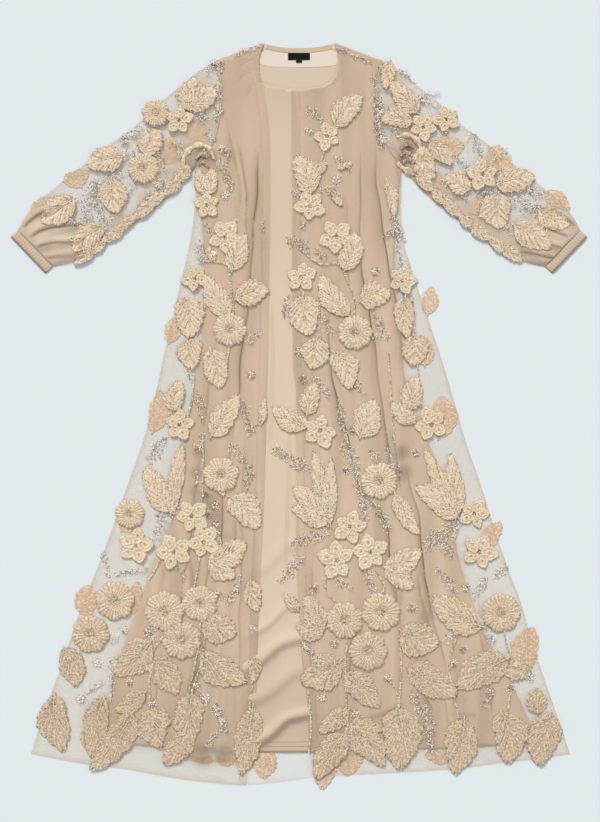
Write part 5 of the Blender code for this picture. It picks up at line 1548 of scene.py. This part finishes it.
def make_sleeve(side, mats):
    """A flattened tube of net with all that is sewn on it, and its cuff."""
    left = side == "left"
    panel = f"sleeve_{side}"
    m = -1.0 if left else 1.0
    armhole = curve_through([(x + 0.5, y) for x, y in ARMHOLE], 8)
    upper = curve_through(SLEEVE_UPPER, 8)[1:]
    lower = curve_through(SLEEVE_LOWER, 8)[1:]
    outline = np.vstack([armhole, lower, upper[::-1]]) * (m, 1)
    cuff_middle = np.array((m * 528, 334.0))

    def marks(p):
        near = smooth(np.linalg.norm(p - cuff_middle, axis=1), 130, 30)
        low = distance_to(p, curve_through(SLEEVE_LOWER, 20) * (m, 1))
        pit = smooth(np.linalg.norm(p - (m * 215, 510), axis=1), 90, 20)
        dense = 0.4 * near + 0.15 * smooth(low, 46, 8) + 0.2 * pit
        for x, y, radius, amount in DOUBLED[panel]:
            dense = np.maximum(dense, amount * round_patch(p, x, y, radius))
        # Painted shade in the sleeve's fold and underarm hollows and along its edge, and painted
        # highlights on the lips
        _, dark, lip_light = fold_terms(p, panel)
        return {"fold": np.clip(np.maximum(dark, edge_shade(p, outline, 0.2)), 0, 1),
                "dense": np.clip(dense + 0.03, 0, 1), "lip": lip_light}

    def surface(p):
        return sleeve_z(p, m)

    guides = [curve_through(((a[0] * m, a[1]), (b[0] * m, b[1])), 6) + (0, up)
              for a, b, _ in PUCKERS for up in (-8, -4, 0, 4, 8)] + fold_guides(panel)
    layers = []
    for step, height, rows, way, share in ((7.0, surface, guides, 1, 1.0),
                                           (14.0, level(SLEEVE_LOW_Z), (), -1, 0.3)):
        places, faces = sheet_points(outline, step, rows)
        shown = {key: values * share for key, values in marks(places).items()}
        layers.append((np.column_stack([places, height(places)]), [f[::way] for f in faces], shown))
    verts, faces, shown = joined(layers)
    tube = mesh_object(f"{panel}_sheet", verts, faces, mats["sleeve_net"], shown)
    rides(tube, "net", panel)

    if left:
        motifs, edges, under = LEFT_SLEEVE_MOTIFS, EDGE_MOTIFS_LEFT, BACK_SLEEVE_LEFT
        roll_lines, tuck_lines = ROLLS_LEFT, TUCKS_LEFT
        twigs, rosettes = LEFT_SLEEVE_TWIGS, LEFT_SLEEVE_ROSETTES
    else:
        motifs, edges, under = RIGHT_SLEEVE_MOTIFS, EDGE_MOTIFS_RIGHT, BACK_SLEEVE_RIGHT
        roll_lines, tuck_lines = ROLLS_RIGHT, TUCKS_RIGHT
        twigs, rosettes = RIGHT_SLEEVE_TWIGS, RIGHT_SLEEVE_ROSETTES
    sewn_on, motif_beads = appliques(f"appliques_{panel}", motifs, surface, mats["thread"],
                                     plain_tint(0.4), seed=41)
    folded, edge_beads = appliques(f"appliques_{panel}_edge", placed(edges), surface,
                                   mats["thread"], plain_tint(0.6), seed=43)
    bunched = rolls(f"rolls_{panel}", roll_lines, surface, mats["thread"])
    # The tucks in the underarm hollows are near-black brown thread: painted shade
    tucks = rolls(f"tucks_{panel}", tuck_lines, surface, mats["tucked"], 4.0)
    reverse, _ = appliques(f"appliques_{panel}_under", placed(under), level(SLEEVE_LOW_Z),
                           mats["wrong_side"], plain_tint(0.7), seed=42, form=wrong_side_form)
    sprays = spray_beads(twigs, rosettes, np.random.default_rng(51))
    silver = bead_object(f"silver_beads_{panel}", sprays, surface, mats["silver"], seed=52)
    dotted = bead_object(f"motif_beads_{panel}", np.vstack([motif_beads, edge_beads]), surface,
                         mats["vein_bead"], seed=53, coarse=True)
    trims = [rides(trim, "net")
             for trim in (sewn_on, folded, bunched, tucks, reverse, silver, dotted)]
    make_cuff(side, mats)


def make_cuff(side, mats):
    """A gathered elastic cuff: a short ribbed tube, pressed flat and open at both ends."""
    m = -1.0 if side == "left" else 1.0
    corners = np.array(CUFF_OUTER, float)
    seam = np.array([SLEEVE_UPPER[-1], SLEEVE_LOWER[-1]], float)
    count, columns = 120, 9
    across = np.linspace(0, 1, columns)[None, :]
    share = np.linspace(0, 1, count)[:, None]
    depth = 0.75
    gather = depth * np.abs(np.sin(math.pi * 17 * share + 0.4 * np.sin(9 * across)))
    bulge = 3.0 + gather + 0.8 * np.sin(math.pi * across)
    over = 0.6 + bulge * np.sqrt(np.clip(1 - (2 * share - 1) ** 16, 0, 1))
    under = np.full((count, columns), 0.15)
    rounds = np.concatenate([share, share[-2:0:-1]])[:, :, None]
    outer = corners[0] + rounds * (corners[1] - corners[0])
    inner = seam[0] + rounds * (seam[1] - seam[0])
    flat = outer + across[:, :, None] * (inner - outer)
    z = np.concatenate([over, under[1:-1]])
    verts = np.column_stack([flat.reshape(-1, 2) * (m, 1), z.reshape(-1)])
    rows = len(rounds)
    faces = []
    for r in range(rows):
        a, b = r * columns, (r + 1) % rows * columns
        faces += [(a + c, a + c + 1, b + c + 1, b + c) for c in range(columns - 1)]
    # Painted shade between the gathers and along the cuff's mouth
    mouth = 0.2 + 0.8 * np.exp(-(across / 0.18) ** 2)
    fold = np.concatenate([np.maximum(0.5 * (1 - gather / depth), mouth),
                           np.zeros((rows - count, columns))]).reshape(-1)
    cuff = mesh_object(f"cuff_{side}_sheet", verts, faces, mats["dense_net"],
                       {"fold": fold, "dense": np.ones(len(verts))})
    rides(cuff, "net", f"cuff_{side}")


def make_seams(mats):
    """Armhole seams, where the sleeve joins the body."""
    parts = []
    for m in (-1.0, 1.0):
        line = curve_through([(m * (x + 0.2), y) for x, y in ARMHOLE], 5)
        z = np.maximum(front_z(line), 5.0) + 0.2
        thick = 0.8 + 0.2 * np.sin(np.arange(len(line)) * 1.9)
        v, f = tube_along(np.column_stack([line, z]), thick)
        parts.append((v, f, {"fold": np.full(len(v), 0.06), "dense": np.ones(len(v))}))
    v, f, a = joined(parts)
    rides(mesh_object("armhole_seams", v, f, mats["dense_net"], a), "net")


def make_stage():
    """The floor, the light and the camera."""
    size, z = 6000.0, -0.5
    pale = material("floor", (0.785, 0.834, 0.85), 0.9, Specular_IOR_Level=0.1)
    corners = [(-size, -size, z), (size, -size, z), (size, size, z), (-size, size, z)]
    mesh_object("floor", corners, [(0, 1, 2, 3)], pale, smooth_faces=False)

    scene = bpy.context.scene
    scene.view_settings.view_transform = "Standard"
    world = bpy.data.worlds.new("studio")
    scene.world = world
    world.use_nodes = True
    sky = world.node_tree.nodes["Background"]
    sky.inputs["Color"].default_value = (0.96, 0.98, 1.0, 1.0)
    sky.inputs["Strength"].default_value = 0.40
    lights = (("key", 2.15, 18.0, (48, 0, 200)), ("fill", 0.5, 60.0, (35, 0, 60)))
    for name, energy, angle, turn in lights:
        light = bpy.data.objects.new(name, bpy.data.lights.new(name, "SUN"))
        light.data.energy = energy
        light.data.angle = math.radians(angle)
        light.rotation_euler = [math.radians(d) for d in turn]
        scene.collection.objects.link(light)

    camera = bpy.data.objects.new("camera", bpy.data.cameras.new("camera"))
    scene.collection.objects.link(camera)
    camera.data.lens = LENS
    camera.data.sensor_width = SENSOR
    camera.data.clip_start = 0.1
    camera.data.clip_end = 30.0
    height = PHOTO_HEIGHT * MM_PER_PIXEL * MM * LENS / SENSOR
    centre_x = (PHOTO_WIDTH / 2 - MIDDLE_X) * MM_PER_PIXEL * MM
    centre_y = (MIDDLE_Y - PHOTO_HEIGHT / 2) * MM_PER_PIXEL * MM
    camera.location = (centre_x, centre_y, height)
    scene.camera = camera


def main():
    cream_dark = (0.47, 0.32, 0.19)
    mats = {
        "net": net_material("net", 0.35, 0.045),
        "sleeve_net": net_material("sleeve_net", 0.30, 0.04),
        "dense_net": net_material("dense_net", 0.95, 0.55),
        "band_net": net_material("band_net", 0.55, 0.35),
        "satin": satin_material("satin"),
        "satin_inside": satin_material("satin_inside"),
        "thread": thread_material("corded_thread", COLOURS["gold"], COLOURS["peach"], cream_dark),
        "wrong_side": thread_material("wrong_side", (0.80, 0.61, 0.43), (0.80, 0.56, 0.37),
                                      (0.60, 0.40, 0.25)),
        # Near-black brown thread for the underarm tucks: painted shade in the hollows
        "tucked": thread_material("tucked", (0.50, 0.33, 0.22), (0.55, 0.35, 0.23),
                                  (0.13, 0.075, 0.045)),
        "facing": plain_cloth("facing", COLOURS["facing"], (0.80, 0.69, 0.57)),
        "binding": plain_cloth("binding", (0.70, 0.56, 0.42), (0.60, 0.46, 0.33)),
        "label": plain_cloth("label", (0.004, 0.004, 0.004), (0.012, 0.011, 0.010), 1600.0, 0.8),
        "stitch": plain_cloth("stitch", (0.50, 0.36, 0.23), (0.40, 0.28, 0.17)),
        # Silver beads drawn without metal: their dark and near-white colours are painted shadows
        # and reflections
        "silver": bead_material("silver", (0.30, 0.225, 0.17), (1.0, 0.93, 0.83), 0.0, 0.3),
        "vein_bead": bead_material("vein_bead", (0.22, 0.15, 0.10), (1.0, 0.92, 0.80), 0.1, 0.3),
        "pearl": bead_material("pearl", (0.50, 0.38, 0.26), (1.0, 0.94, 0.80), 0.0, 0.3),
    }
    make_stage()
    make_body(mats)
    make_neck(mats)
    for side in ("left", "right"):
        make_front(side, mats)
        make_sleeve(side, mats)
    make_seams(mats)


main()
